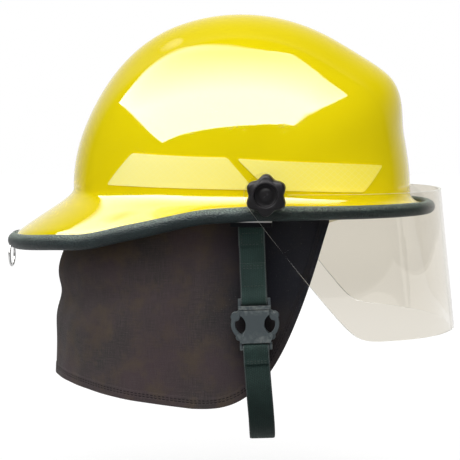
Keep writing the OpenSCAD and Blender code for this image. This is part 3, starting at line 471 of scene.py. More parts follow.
def build_mould(t, p, given):
    """Moulded plastic: a slow unevenness, a fine grain, thin random scratches and dull handled patches."""
    slow, grain = t.noise(p, 28.0, 2.0), t.noise(p, given["Grain scale"], 2.0, 0.6)
    small = t.vector_math("SCALE", Vector=t.noise(p, 35.0, 2.0, 0.5, "Color"), Scale=0.02).outputs[0]
    bent = t.node("VectorMath", {0: p, 1: small}, operation="ADD").outputs[0]
    line = t.ramp(t.cells(t.scaled(bent, (1.0, 1.0, 3.0)), 34.0, "DISTANCE_TO_EDGE"), 0.0, 0.012, 1.0, 0.0)
    scratch = t.mul(line, t.ramp(t.noise(p, 60.0, 2.0), 0.56, 0.66))
    handled = t.ramp(t.noise(p, 17.0, 4.0, 0.6), 0.45, 0.72)
    height = t.mul(slow, given["Unevenness"], t.mul(grain, given["Grain"]))
    return t.math("SUBTRACT", height, t.mul(scratch, 0.15)), scratch, handled


def build_wear(t, p, given):
    """Worn edges: where the surface bends outward, broken up by noise."""
    edge = t.ramp(t.node("NewGeometry").outputs["Pointiness"], 0.53, 0.59)
    return t.mul(edge, t.ramp(t.noise(p, given["Scale"], 4.0, 0.7), 0.42, 0.62)),


def build_weave(t, p, given):
    """Cloth from two thread sets on the UV map in metres: over and under by the product of two sines, on a twill
    slant, with slubs in both directions."""
    threads = given["Threads"]
    u, v = (t.mul(axis, threads) for axis in t.axes(p)[:2])
    warp, weft = t.wave(t.mul(t.mul(v, given["Slant"], u), math.pi)), t.wave(t.mul(v, math.pi))
    slubs = [t.noise(t.scaled(p, scale), threads, 2.0) for scale in ((1.0, 0.04, 1.0), (0.04, 1.0, 1.0))]
    return t.mul(t.math("POWER", warp, 0.6), t.mul(weft, 0.45, 0.55)), t.mul(t.math("ADD", *slubs), 0.5)


def build_dust(t, p, given):
    """Fine dust: specks, thicker in slow patches."""
    fleck, patch = t.ramp(t.noise(p, 900.0, 2.0, 0.7), 0.62, 0.74), t.ramp(t.noise(p, 22.0), 0.4, 0.75)
    return t.mul(t.mul(fleck, patch), given["Amount"]),


MOULD = group("moulded plastic", {"Grain scale": 2400.0, "Grain": 0.4, "Unevenness": 1.0},
              ("Height", "Scratches", "Handled"), build_mould)
WEAR = group("edge wear", {"Scale": 300.0}, ("Wear",), build_wear)
WEAVE = group("woven cloth", {"Threads": 1600.0, "Slant": 1.0}, ("Height", "Slub"), build_weave)
DUST = group("dust", {"Amount": 0.5}, ("Dust",), build_dust)


def plastic(name, colour, dark, roughness, grain=0.4, grain_scale=2400.0, worn=None, level=0.25, uneven=1.0, dust=0.25):
    """Moulded plastic: two tones in slow patches, grain, scratches and paler worn edges."""
    t = Material(name, Specular_IOR_Level=level)
    m = t.place(MOULD, t.p, Grain=grain, Grain_scale=grain_scale, Unevenness=uneven)
    tone = t.patches(colour, dark, 24.0, 0.35, 0.7)
    if worn:
        tone = t.blend(t.place(WEAR, t.p)["Wear"], tone, worn)
    tone = t.dusty(tone, dust, tuple(c * 0.5 + 0.25 for c in colour))
    return t.finish(tone, t.mul(m["Scratches"], 0.15, t.mul(m["Handled"], 0.10, roughness)), m["Height"], 0.25, 0.0002)


def metal(name, colour, dark, roughness, painted_shade_z=None):
    """Plated or turned metal: stretched fine lines and a darker film in patches. Below a given height it may be painted
    near black, a painted shade."""
    t = Material(name, Metallic=1.0)
    lines = t.noise(t.scaled(t.p, (1.0, 1.0, 14.0)), 420.0, 3.0, 0.7)
    tone = t.patches(colour, dark, 90.0, 0.4, 0.75)
    if painted_shade_z is None:
        roughness = t.mul(lines, 0.18, roughness)
    else:
        # Painted shade: near black below the height, so that only the plate's edge above it shows bright.
        tone = t.blend(t.ramp(t.axes(t.p)[2], painted_shade_z * MM - 0.0002, painted_shade_z * MM), (0.012, 0.013, 0.015), tone)
    return t.finish(tone, roughness, lines, 0.12, 0.0001)


def cloth(name, colour, other, thread, threads, slant, strength=0.5, patches=9.0, faded=None, painted_shade_front=None):
    """Woven cloth on the UV map: weave, slubs, painted shade in the weave's hollows, two tones in slow patches and a
    soft sheen. A third tone may come in small faded patches, and a painted shadow towards the upper front corners."""
    t = Material(name, Sheen_Weight=0.1, Sheen_Roughness=0.5, Specular_IOR_Level=0.05)
    w = t.place(WEAVE, t.coordinates("UV"), Threads=threads, Slant=slant)
    tone = t.patches(colour, other, patches, 0.35, 0.68)
    tone = t.blend(t.ramp(w["Slub"], 0.42, 0.62), tone, thread)
    if faded:
        tone = t.blend(t.ramp(t.noise(t.p, patches * 2.3, 4.0, 0.65), 0.48, 0.68, 0.0, 0.8), tone, faded)
    # Painted shadow: towards the upper front the cloth goes blue-black, the shade under the brim and shield.
    if painted_shade_front:
        x, _, z = t.axes(t.p)
        corner = t.mul(t.ramp(x, -0.008, 0.032, 0.0, 0.92), t.ramp(z, -0.15, -0.06, 0.15, 1.0))
        tone = t.blend(corner, tone, painted_shade_front)
    # Painted shade: the value follows the weave's height, darker in its hollows and lighter on the raised threads.
    tone = t.lit(tone, t.ramp(w["Height"], 0.0, 1.0, 0.62, 1.12))
    tone = t.dusty(tone, 0.35, (0.16, 0.15, 0.14))
    return t.finish(tone, 0.85, w["Height"], strength, 0.0003)


def webbing():
    """Narrow green webbing on the UV map: ribs along it, picks across it, painted shade where they dip, a paler
    selvedge at both edges, and darker under the chin."""
    rib_wide, pick_wide, half_wide = 0.00135, 0.0018, WEB_W / 2 * MM
    t = Material("green webbing", Sheen_Weight=0.08, Sheen_Roughness=0.45, Specular_IOR_Level=0.08)
    u, v, _ = t.axes(t.coordinates("UV"))
    rib = t.wave(t.mul(u, math.pi / rib_wide))
    half_turn = t.mul(t.math("FLOOR", t.math("DIVIDE", u, rib_wide)), math.pi / 2)
    pick = t.wave(t.mul(v, math.pi / pick_wide, half_turn))
    height = t.mul(t.math("POWER", rib, 0.5), t.mul(pick, 0.4, 0.6))
    selvedge = t.ramp(t.math("ABSOLUTE", u), half_wide * 0.86, half_wide * 0.95)
    tone = t.patches((0.020, 0.042, 0.037), (0.014, 0.029, 0.026), 45.0, 0.35, 0.7)
    tone = t.blend(t.mul(selvedge, 0.55), tone, (0.085, 0.095, 0.098))
    fuzz = t.noise(t.p, 1600.0, 2.0, 0.7)
    # Darker towards the bottom: the value falls to two thirds from z = -0.10 m down to -0.135 m.
    darker_low = t.ramp(t.axes(t.p)[2], -0.135, -0.10, 0.66, 1.0)
    # Value: painted shade where the weave dips, times the darkening towards the bottom and a random fuzz.
    value = t.mul(t.mul(t.ramp(height, 0.0, 1.0, 0.6, 1.15), darker_low), t.ramp(fuzz, 0.3, 0.7, 0.85, 1.12))
    return t.finish(t.lit(tone, value), 0.78, t.mul(fuzz, 0.25, height), 0.7, 0.00035)


def shell_yellow():
    """Glossy yellow moulding: slight orange peel, hairline scratches in the gloss and a faint darker depth."""
    t = Material("shell yellow", Roughness=0.5, Coat_Weight=1.0, Coat_IOR=1.6, Specular_IOR_Level=0.0)
    m = t.place(MOULD, t.p, Grain=0.1, Grain_scale=900.0, Unevenness=0.6)
    tone = t.patches((0.82, 0.668, 0.002), (0.77, 0.62, 0.002), 7.0, 0.35, 0.7)
    tone = t.dusty(tone, 0.10, (0.62, 0.56, 0.25))
    t.put(t.shader.inputs["Coat Roughness"], t.mul(m["Handled"], 0.05, t.mul(m["Scratches"], 0.2)))
    return t.finish(tone, None, m["Height"], 0.06, 0.0004)


def beading():
    """Dark green rubber with a pebbled skin; pale specks lie where it looks up, a painted highlight along its top."""
    t = Material("rubber beading", Specular_IOR_Level=0.2)
    pebble, fine = t.cells(t.p, 820.0), t.noise(t.p, 1250.0, 3.0, 0.75)
    tone = t.patches((0.004, 0.010, 0.012), (0.008, 0.018, 0.020), 55.0, 0.42, 0.7, 4.0, 0.65)
    upward = t.axes(t.node("NewGeometry").outputs["Normal"])[2]
    # Painted highlight: the pale specks come out where the normal looks up, lightest along the top.
    painted_highlight_flecks = t.mul(t.ramp(fine, 0.46, 0.58), t.ramp(upward, 0.15, 0.95, 0.04, 1.0))
    tone = t.blend(painted_highlight_flecks, tone, (0.20, 0.26, 0.21))
    return t.finish(tone, t.ramp(fine, 0.3, 0.7, 0.34, 0.56), t.mul(fine, 0.6, pebble), 0.8, 0.0005)


def film():
    """Reflective film: square cells a few millimetres wide with paler walls, under a clear smooth face. It is paler
    towards the back, a painted light.
    """
    t = Material("reflective film", Roughness=0.5, Coat_Weight=0.6, Coat_Roughness=0.12, Specular_IOR_Level=0.1)
    uv = t.coordinates("UV")
    skew = t.scaled(uv, (260.0, 300.0, 1.0), math.radians(45))
    wall = t.ramp(t.cells(skew, 1.0, "DISTANCE_TO_EDGE", 0.0), 0.02, 0.09, 1.0, 0.0)
    bead = t.noise(uv, 2600.0, 2.0, 0.6)
    # Painted light: paler and whiter towards the back, deeper yellow in front.
    tone = t.blend(t.ramp(t.axes(t.p)[0], -0.06, 0.11), (0.98, 0.90, 0.27), (0.98, 0.83, 0.06))
    tone = t.blend(t.ramp(bead, 0.3, 0.7, 0.0, 0.12), tone, (0.98, 0.94, 0.55))
    tone = t.blend(t.mul(wall, 0.18), tone, (0.98, 0.93, 0.45))
    return t.finish(tone, None, t.mul(wall, 0.5, t.mul(bead, 0.4)), 0.12, 0.0002)


def clear_sheet():
    """Clear sheet with a faint warm tint: shadow rays pass, so what is behind it keeps its light."""
    t = Material("clear shield", IOR=1.38, Transmission_Weight=1.0)
    m = t.place(MOULD, t.p, Grain=0.0)
    tone = t.patches((0.97, 0.96, 0.935), (0.955, 0.945, 0.92), 12.0, 0.4, 0.75)
    clear = t.node("BsdfTransparent", {"Color": (0.86, 0.84, 0.79)})
    shadow = t.node("LightPath").outputs["Is Shadow Ray"]
    t.surface("MixShader", {0: shadow, 1: t.shader.outputs[0], 2: clear.outputs[0]})
    return t.finish(tone, t.mul(m["Scratches"], 0.10), m["Height"], 0.03, 0.0001)


def cut_edge():
    """The sheet's cut edge, which is frosted and pale."""
    t = Material("cut edge of the shield", IOR=1.38, Transmission_Weight=0.5)
    saw = t.noise(t.scaled(t.p, (1.0, 1.0, 3.0)), 700.0, 3.0, 0.7)
    return t.finish(t.blend(saw, (0.93, 0.93, 0.88), (0.80, 0.81, 0.77)), t.ramp(saw, 0.3, 0.7, 0.25, 0.5))


def foam(name, colour, dark, scale=520.0, strength=0.35):
    """Closed-cell foam or knit over foam: small cells with darker walls and slow stains."""
    t = Material(name, Sheen_Weight=0.05, Specular_IOR_Level=0.1)
    cell = t.cells(t.p, scale)
    tone = t.patches(colour, dark, 14.0, 0.35, 0.75, 4.0)
    return t.finish(t.blend(t.ramp(cell, 0.25, 0.6, 0.0, 0.45), tone, dark), 0.9, cell, strength, 0.0004)


def leather():
    """Soft brown sweatband leather: creased cells and darker rubbed patches."""
    t = Material("sweatband leather", Specular_IOR_Level=0.2)
    slow = t.ramp(t.noise(t.p, 30.0, 4.0), 0.35, 0.7)
    crease = t.ramp(t.cells(t.p, 700.0, "DISTANCE_TO_EDGE"), 0.0, 0.12)
    tone = t.blend(slow, (0.105, 0.052, 0.026), (0.06, 0.03, 0.018))
    return t.finish(tone, t.ramp(slow, 0.0, 1.0, 0.48, 0.66), crease, 0.4, 0.0003)


SLOTS = {
    "shell": shell_yellow(), "beading": beading(), "reflective": film(), "clear_shield": clear_sheet(),
    "nylon": plastic("black nylon", (0.006, 0.0055, 0.0065), (0.009, 0.008, 0.0095), 0.36, 0.8, 2200.0,
                     (0.035, 0.033, 0.037), level=0.14, dust=0.1),
    "buckle_grey": plastic("buckle grey", (0.052, 0.066, 0.073), (0.048, 0.061, 0.067), 0.45, 0.15, 3000.0,
                           (0.20, 0.22, 0.21), level=0.18, uneven=0.4, dust=0.05),
    "washer": plastic("natural nylon", (0.62, 0.61, 0.54), (0.55, 0.54, 0.47), 0.4),
    "steel": metal("zinc plate", (0.66, 0.66, 0.66), (0.42, 0.42, 0.41), 0.22),
    "brass": metal("turned brass", (0.66, 0.45, 0.16), (0.45, 0.29, 0.10), 0.25),
    "curtain": cloth("curtain cloth", (0.064, 0.045, 0.049), (0.037, 0.036, 0.033), (0.072, 0.054, 0.057), 2300.0, 1.0,
                     # The last colour is a painted shadow towards the upper front corners.
                     0.35, 22.0, faded=(0.084, 0.062, 0.045), painted_shade_front=(0.006, 0.008, 0.014)),
    "webbing": webbing(), "foam": foam("cream foam", (0.74, 0.68, 0.50), (0.60, 0.54, 0.38)),
    "padding": foam("dark knit", (0.030, 0.030, 0.031), (0.018, 0.018, 0.019), 760.0, 0.6), "sweatband": leather(),
}
CUT_EDGE = cut_edge()
# The strap anchors' plate, painted near black below a height: a painted shade.
PLATE_WITH_PAINTED_SHADE = metal("plate with painted shade below", (0.72, 0.72, 0.72), (0.55, 0.55, 0.54), 0.35, PAINTED_SHADE_Z)
THREAD = cloth("dark thread", (0.014, 0.011, 0.013), (0.010, 0.009, 0.010), (0.024, 0.02, 0.02), 3000.0, 0.4)
GREEN_THREAD = cloth("green thread", (0.05, 0.075, 0.068), (0.035, 0.055, 0.05), (0.09, 0.11, 0.10), 3000.0, 0.4)


def dress(obj, slot, *nodes, body="helmet", material=None):
    """Gives a piece its slot's material or another and its body, and hides the CAD nodes that it stands for."""
    obj.data.materials.clear()
    obj.data.materials.append(material or SLOTS[slot])
    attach(obj, body)
    if nodes:
        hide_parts(*nodes)
    return obj


# Shell

def make_shell():
    """Outer face from the spine to the edge, the edge, and back inside to the spine."""
    k, base = stations(360)
    e, _, up = edge_frame(base)

    def face(lats, brim, inset):
        return [dome_point(k, lat, inset) for lat in lats] + [brim_top(base, inset, t) for t in brim]

    lats, brim = np.concatenate([np.linspace(0, 34, 52), np.linspace(36, 90, 34)]), np.linspace(0.05, 1, 18)
    rows = face(lats, brim, 0.0) + [e, e - up * SHELL_T] + face(lats[::3], brim[::2], SHELL_T)[::-1]
    dress(grid_object("shell", np.stack(rows), soft_angle=50), "shell", "outer_shell")


def make_bead():
    """The beading's section, a round back with a slot for the shell, carried round the edge; it is BEAD_SPREAD
    thicker at the rear sides and as much thinner in front."""
    e, d, up = edge_frame(stations(432)[1])
    a = arc(-128, 128, 29)
    half = SHELL_T / 2 + SLOT_GAP
    lip = np.array([[-SLOT_IN - 0.2, half + 0.9], [-SLOT_IN, half], [0.2, half]])
    lip = np.concatenate([lip, lip[::-1] * np.array([1, -1])])
    section = np.concatenate([stack(BEAD_R * np.cos(a) - BEAD_OUT, BEAD_R * np.sin(a)), lip])[:, None]
    thick = 1 + BEAD_SPREAD * (smooth(0, 60, -e[:, 0]) * smooth(8, 25, np.abs(e[:, 1])) - smooth(40, 90, e[:, 0]))
    out, high = section[..., 0] * thick, section[..., 1] * thick
    points = e - up * (SHELL_T / 2 - high)[..., None] + d * out[..., None]
    dress(grid_object("rubber_beading", points, True, soft_angle=55), "beading", "edge_trim")


# Reflective trapezoids: angle round the dome and height of each corner, the two lower ones first
PANELS = {"upright": ((-140, 19), (-81, 17), (-130, 44), (-92, 44)),
          "inverted": ((-75.5, 16.5), (-40, 14), (-88, 43), (-31, 33))}


def make_panels():
    """Each is a patch of the dome between four corners, mixed in angle and height, with its corners rounded off."""
    low_side = [0, 0.004, 0.012, 0.025, 0.045, 0.07]
    high_side = [0.93, 0.955, 0.975, 0.988, 0.996, 1]
    v = np.concatenate([low_side, np.linspace(0.09, 0.91, 18), high_side])[:, None]
    u = np.linspace(0, 1, 60)[None]
    for hand, way_round in (("left", 1), ("right", -1)):
        for name, (low_0, low_1, high_0, high_1) in PANELS.items():
            near = np.minimum(v, 1 - v) * mix(high_0[1] - low_0[1], high_1[1] - low_1[1], u)
            in_corner = np.maximum(PANEL_CORNER_R - near, 0)
            cut = PANEL_CORNER_R - np.sqrt(np.maximum(PANEL_CORNER_R ** 2 - in_corner ** 2, 0))
            cut = np.degrees(cut / PANEL_PLAN_R)
            left, right = mix(low_0[0], high_0[0], v) + cut, mix(low_1[0], high_1[0], v) - cut
            a = np.radians(way_round * mix(left, right, u))
            z = mix(mix(low_0[1], low_1[1], u), mix(high_0[1], high_1[1], u), v)
            h = (z - BASE_Z) / PANEL_SPHERE_R
            way = stack(np.cos(a) * np.sqrt(1 - h ** 2), np.sin(a) * np.sqrt(1 - h ** 2), h)
            piece = slab(f"reflective_{name}_{hand}", dome(way, -PANEL_LIFT - PANEL_T), dome(way, -PANEL_SUNK),
                         np.stack([a * 0.115, z * MM], -1))
            dress(soften(piece, 0.15), "reflective")
    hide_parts("reflective_panels")


# Face shield

def ear(x):
    """Half the height of the round ear at x, and the distance forward of the pivot."""
    dx = x - PIVOT_X
    return np.sqrt(np.maximum(EAR_R ** 2 - dx ** 2, 0)), dx


def shield_top(x):
    """Top edge: round over the ear, then level."""
    c, dx = ear(x)
    over = (PIVOT_Z + c - SHIELD_TOP_Z) * smooth(0, EAR_R + 4, dx)
    return np.maximum(PIVOT_Z + c, SHIELD_TOP_Z) - np.where((dx > 0) & (c > 0), over, 0)


def shield_low(x):
    """Lower edge: round under the ear, a slanted line, and a soft turn into the level bottom."""
    c, dx = ear(x)
    slant = math.radians(SLANT)
    touch = -EAR_R * math.sin(slant)
    line = PIVOT_Z - EAR_R * math.cos(slant) - (dx - touch) * math.tan(slant)
    level = mix(SHIELD_SIDE_LOW, SHIELD_BOTTOM_Z, smooth(100, 170, x))
    return np.where(dx < touch, PIVOT_Z - c, level + SHIELD_TURN * np.log1p(np.exp((line - level) / SHIELD_TURN)))


def make_shield():
    """Plan: an arm straight to the pivot, then the curve |x|^SHIELD_P + |y|^SHIELD_P = 1 round the front, reaching
    further forward the lower it is. The faces of the cut edge, which look up or down, or along the helmet at its
    sides, get their own finish."""
    arm = PIVOT_X - (EAR_R - 0.02) * np.cos(arc(0, 90, 26)[:-1])
    y, forward = oval(arc(0, 90, 110), 1, 1, SHIELD_P, SHIELD_P).T
    x, y = np.concatenate([arm, PIVOT_X + SHIELD_REACH * forward]), np.concatenate([np.ones(len(arm)), y])
    x, y = np.concatenate([x, x[-2::-1]]), np.concatenate([-y, y[-2::-1]])
    z = mix(shield_top(x), shield_low(x), np.linspace(0, 1, 40)[:, None])
    grow = 1 + SHIELD_LEAN / SHIELD_REACH * np.maximum(0, SHIELD_TOP_Z - z) / (SHIELD_TOP_Z - SHIELD_BOTTOM_Z)

    def face(inset):
        reach = np.where(x < PIVOT_X, x - PIVOT_X, (x - PIVOT_X) * grow * (1 - inset / SHIELD_REACH))
        return stack(PIVOT_X + reach, y * (SHIELD_HALF_W - inset), z)

    piece = slab("shield_sheet", face(0), face(SHIELD_T), soft_angle=50)
    dress(soften(piece, 0.35, 3), "clear_shield", "face_shield", body="shield")
    normals, centres = np.zeros((2, len(piece.data.polygons), 3), np.float32)
    piece.data.polygons.foreach_get("normal", normals.ravel())
    piece.data.polygons.foreach_get("center", centres.ravel())
    cut = (np.abs(normals[:, 2]) > 0.5) | ((np.abs(normals[:, 1]) < 0.3) & (centres[:, 0] < (PIVOT_X + 60) * MM))
    piece.data.materials.append(CUT_EDGE)
    piece.data.polygons.foreach_set("material_index", cut.astype(np.int32))
    piece.modifiers[0].material = 1


# Star knobs and the rest of the hard pieces

def make_knobs():
    """Six lobes: radius LOBE_R + LOBE_OUT * (half of 1 + cos 6a)^0.85, blended to a circle at the recess; the height
    follows a turned profile with a round shoulder and a sunk face. Each row of the profile is the share of the lobes,
    a radius beside it, an offset and a height."""
    a = turn(240)
    lobes = LOBE_R + LOBE_OUT * (0.5 + 0.5 * np.cos(6 * (a - np.pi / 2))) ** 0.85
    profile = [(0.0, 0.0, KNOB_BORE_R, 0.0), (1.0, 0.0, -0.6, 0.0), (1.0, 0.0, 0.0, 0.5)]
    profile += [(1.0, 0.0, -0.25, h) for h in (3, 6, 8.5)]
    profile += [(1.0, 0.0, -0.25 - SHOULDER_R * (1 - math.cos(s)), 9.6 + SHOULDER_R * math.sin(s))
                for s in arc(0, 90, 7)]
    profile += [(0.0, KNOB_RECESS_R, r, h) for r, h in ((2.0, 12.6), (1.0, 12.95), (0.45, 13.0), (0.12, 12.85),
                                                        (0.0, 12.4), (-0.15, 9.4), (-0.6, 8.7), (-1.4, 8.5))]
    profile += [(0.0, 0.0, r, h) for r, h in ((5.2, 8.5), (4.6, 8.9), (3.0, 9.1), (1.2, 9.2), (0.01, 9.2))]
    share, base, out, high = np.array(profile).T[..., None]
    r = share * lobes + base + out
    for name, side in (("right", -1), ("left", 1)):
        rows = stack(PIVOT_X + r * np.cos(a), side * (KNOB_IN + high), PIVOT_Z + r * np.sin(a))
        dress(grid_object(f"star_knob_{name}", rows, soft_angle=38), "nylon", f"knob_{name}", body=f"knob_{name[0]}")


# Each hard piece's node, slot, body and the width of its rounded edges
HARD = """
pivot_brackets    nylon       helmet   0.6
bracket_screws    steel       helmet   0.15
pivot_studs       steel       helmet   0.3
stud_nuts         steel       helmet   0.3
friction_washers  washer      helmet   0.2
insert_right      brass       knob_r   0.15
insert_left       brass       knob_l   0.15
suspension_keys   nylon       helmet   0.25
headband          nylon       helmet   0.3
ratchet_housing   nylon       helmet   0.5
fitting_knob      nylon       fit_knob 0.4
fitting_pinion    steel       fit_knob 0.1
band_tail_right   nylon       tail_r   0.2
band_tail_left    nylon       tail_l   0.2
curtain_strip     nylon       helmet   0.1
strap_anchors     steel       helmet   0.25
anchor_rivets     steel       helmet   0.15
buckle_plug       buckle_grey helmet   0.45
prong_right       buckle_grey prong_r  0.4
prong_left        buckle_grey prong_l  0.4
buckle_socket     buckle_grey helmet   0.7
strap_slide       nylon       helmet   0.5
hanger_clip       steel       helmet   0.1
hanger_rivets     steel       helmet   0.2
"""


def make_hard():
    """The pieces whose CAD shape is kept, with rounded edges."""
    for node, slot, body, width in map(str.split, HARD.strip().splitlines()):
        dress(rounded_copy(node, float(width)), slot, node, body=body,
              material=PLATE_WITH_PAINTED_SHADE if node == "strap_anchors" else None)


def make_ring():
    """A torus that hangs from the clip's eye."""
    a, c = np.meshgrid(turn(96), turn(20), indexing="ij")
    r = RING_R + WIRE_R * np.cos(c)
    points = stack(RING_X + WIRE_R * np.sin(c), r * np.cos(a), RING_Z - RING_R + r * np.sin(a))
    dress(grid_object("ring", points, True), "steel", "hanging_ring", body="ring")


# Liner, webbing crown and pads

def make_liner():
    """The dome's own form, inset, with its skirt below the brim's root and a softly rounded lower edge."""
    k = stations(216)[0]
    lats = np.linspace(0, 90, 40)

    def face(inset):
        return [dome_point(k, lat, inset, 0.0) for lat in lats]

    rows = face(LINER_OUT)
    for depth, up in ((0, 4), (0, 2), (0.6, 0.6), (2, 0), (6, 0), (10, 0), (11.4, 0.6), (12, 2), (12, 4)):
        p = dome_point(k, 90.0, LINER_OUT + depth)
        rows.append(stack(p[:, 0], p[:, 1], mix(-9, 3, smooth(78, 125, p[:, 0])) + up))
    rows += face(LINER_OUT + LINER_T)[::-1]
    piece = dress(grid_object("foam_liner", np.stack(rows), soft_angle=60), "foam", "impact_liner")


def make_crown():
    """Two webbing arcs over the head with straight ends, one laid over the other where they cross."""
    made = []
    for n, degrees in enumerate((CROWN_TURN, -CROWN_TURN)):
        a = arc(0, 180, 90)
        r = CROWN_R + WEB_T / 2 - 0.9 * n * bell(np.degrees(a), 90, 11)
        over = stack(r * np.cos(a), 0, CROWN_Z + r * np.sin(a))
        ends = [np.array([[s * (CROWN_R + WEB_T / 2), 0, 6.0]]) for s in (1, -1)]
        t = math.radians(degrees)
        rot = np.array([[math.cos(t), math.sin(t), 0], [-math.sin(t), math.cos(t), 0], [0, 0, 1]])
        path = resample(np.concatenate([ends[0], over, ends[1]]), 170) @ rot + np.array([CROWN_X, 0, 0])
        made.append(sweep(f"crown_web_{n}", path, rot[1], web_outline(thick=1.3 if n else 1.5)))
    dress(join("crown_webbing", made), "webbing", "crown_straps")


def cushion(name, line, thick, slot, node, channels):
    """An upright pad along a line: section |x / a|^3 + |y / b|^2.4 = 1, tapering at its ends, pulled in at the sewn
    channels across it."""
    s = np.linspace(-1, 1, len(line))
    taper = np.clip(1 - np.abs(s) ** 10, 0.02, 1) ** 0.5
    for c in range(channels):
        taper = taper * (1 - 0.45 * bell(s, -1 + 2 * (c + 1) / (channels + 1), 0.012))
    ends = np.clip(1 - np.abs(s) ** 24, 0.05, 1) ** 0.4
    section = oval(turn(36), 12, thick / 2, 3, 2.4)
    across, normal = square_to(line, np.array([0, 0, 1.0]))
    rows = (line[:, None] + across[:, None] * (section[:, 0] * ends[:, None])[..., None]
            + normal[:, None] * (section[:, 1] * taper[:, None])[..., None])
    caps = [np.broadcast_to(rows[end].mean(0), rows[:1].shape) for end in (0, -1)]
    piece = grid_object(name, np.concatenate([caps[0], rows, caps[1]]), soft_angle=60)
    dress(piece, slot, node)


def make_pads():
    """The brow pad on the headband's plan, an ellipse in front of its centre and a circle behind it, and the nape pad
    on the fitting's arc."""
    a, depth = arc(-61, 61, 200), -2.6
    line = stack(BAND_X + np.where(np.cos(a) > 0, BAND_FRONT + depth, BAND_R + depth) * np.cos(a),
                 (BAND_R + depth) * np.sin(a), BAND_LOW + BAND_H / 2)
    cushion("brow_cushion", line, 4.0, "sweatband", "brow_pad", 9)
    a = arc(180 - 23.6, 180 + 23.6, 80)
    line = stack(BAND_X + NAPE_R * np.cos(a), NAPE_R * np.sin(a), GEAR_Z)
    cushion("nape_cushion", line, 5.0, "padding", "nape_pad", 3)


def make_crown_pad():
    """A round domed pad under the crossing: two spherical faces that meet in a rounded rim."""
    r = np.concatenate([np.linspace(0, PAD_R, 26), PAD_R + PAD_RIM * np.sin(arc(10, 90, 7))])
    a = turn(120)
    rim = np.sqrt(np.clip(1 - (np.maximum(r - PAD_R, 0) / PAD_RIM) ** 2, 0, 1))
    rows = []
    for sign in (1, -1):
        rad = CROWN_R - 1.9 + sign * (1.4 * rim - 0.35 * bell(r, 13, 1.1))
        z = CROWN_Z + np.sqrt(rad ** 2 - r ** 2)
        rows.append(stack(CROWN_X + r[:, None] * np.cos(a), r[:, None] * np.sin(a), z[:, None])[::sign])
    piece = grid_object("crown_cushion", np.concatenate(rows), soft_angle=60)
    dress(piece, "padding", "crown_pad")


# Ear and neck curtain
FRONT_T = math.degrees(math.acos(((CURTAIN_FRONT - 0.6 - DOME_X) / float(side_radius(0.0))) ** (SECTION_P / 2)))


def plan_at(t, inset):
    """The dome's base plan at an angle, less an inset."""
    c, s = np.moveaxis(oval(np.radians(t), 1, 1, SECTION_P, SECTION_P), -1, 0)
    return DOME_X + c * (side_radius(np.where(c > 0, 0.0, 180.0)) - inset), s * (DOME_HALF_W - inset)


def hem_z(x):
    """The hem: lowest HEM_BACK mm behind the middle, rising a little behind it, and in front of it along a sweep
    (1 - s^3)^1.1 up to the front corners."""
    ahead = x + HEM_BACK
    sweep_up = np.minimum(1, np.maximum(ahead, 0) / (CURTAIN_FRONT + HEM_BACK)) ** 3
    front = mix(HEM_FRONT_Z, CURTAIN_LOW_Z, (1 - sweep_up) ** 1.1)
    return np.where(ahead > 0, front, CURTAIN_LOW_Z + HEM_RISE * (np.maximum(-ahead, 0) / HEM_RISE_OVER) ** 1.1)


def curtain_face(u, v, inset):
    """The cloth: the base plan swelling out behind the neck, with slow waves that deepen towards the hem, small
    wrinkles, and creases that run round it."""
    t = mix(FRONT_T, 360 - FRONT_T, u - 0.09 * np.sin(2 * np.pi * u))
    px, py = plan_at(t, inset)
    rear = smooth(0.1, 0.9, -np.cos(np.radians(t)))
    top = CURTAIN_TOP_Z - 4 * rear
    z = mix(top, np.minimum(top - 5, hem_z(plan_at(t, 0)[0])), v)
    depth = top - z
    d = depth / (top - CURTAIN_LOW_Z)
    wave = 1.6 * smooth(0.15, 0.9, d) * np.cos(np.radians(7.5 * t)) * (0.5 + 0.5 * rear)
    small = 0.6 * smooth(0.06, 0.4, d) * sum(size * np.sin(np.radians(across * t) + down * d)
                                             for size, across, down in ((0.5, 13, 4), (0.6, 7, -9), (0.25, 29, 13)))
    slope = 0.16 * (t - 180) * np.cos(np.radians(2 * t))
    crease = (0.35 + 0.65 * rear) * (1.5 * bell(depth, 34 + slope, 15) - 3.8 * bell(depth, 61 + slope, 13)
                                     + 0.9 * bell(depth, 84 - slope, 16))
    crease = np.where(rear > 0.02, crease, crease * 0.5) * smooth(0.0, 0.2, u) * smooth(0.0, 0.2, 1 - u)
    out = wave + small + crease + CURTAIN_BULGE * rear * smooth(0, 0.4, d) + 0.6 * d
    n = unit(stack(px - DOME_X, 1.2 * py))
    return stack(px + n[..., 0] * out, py + n[..., 1] * out, z)


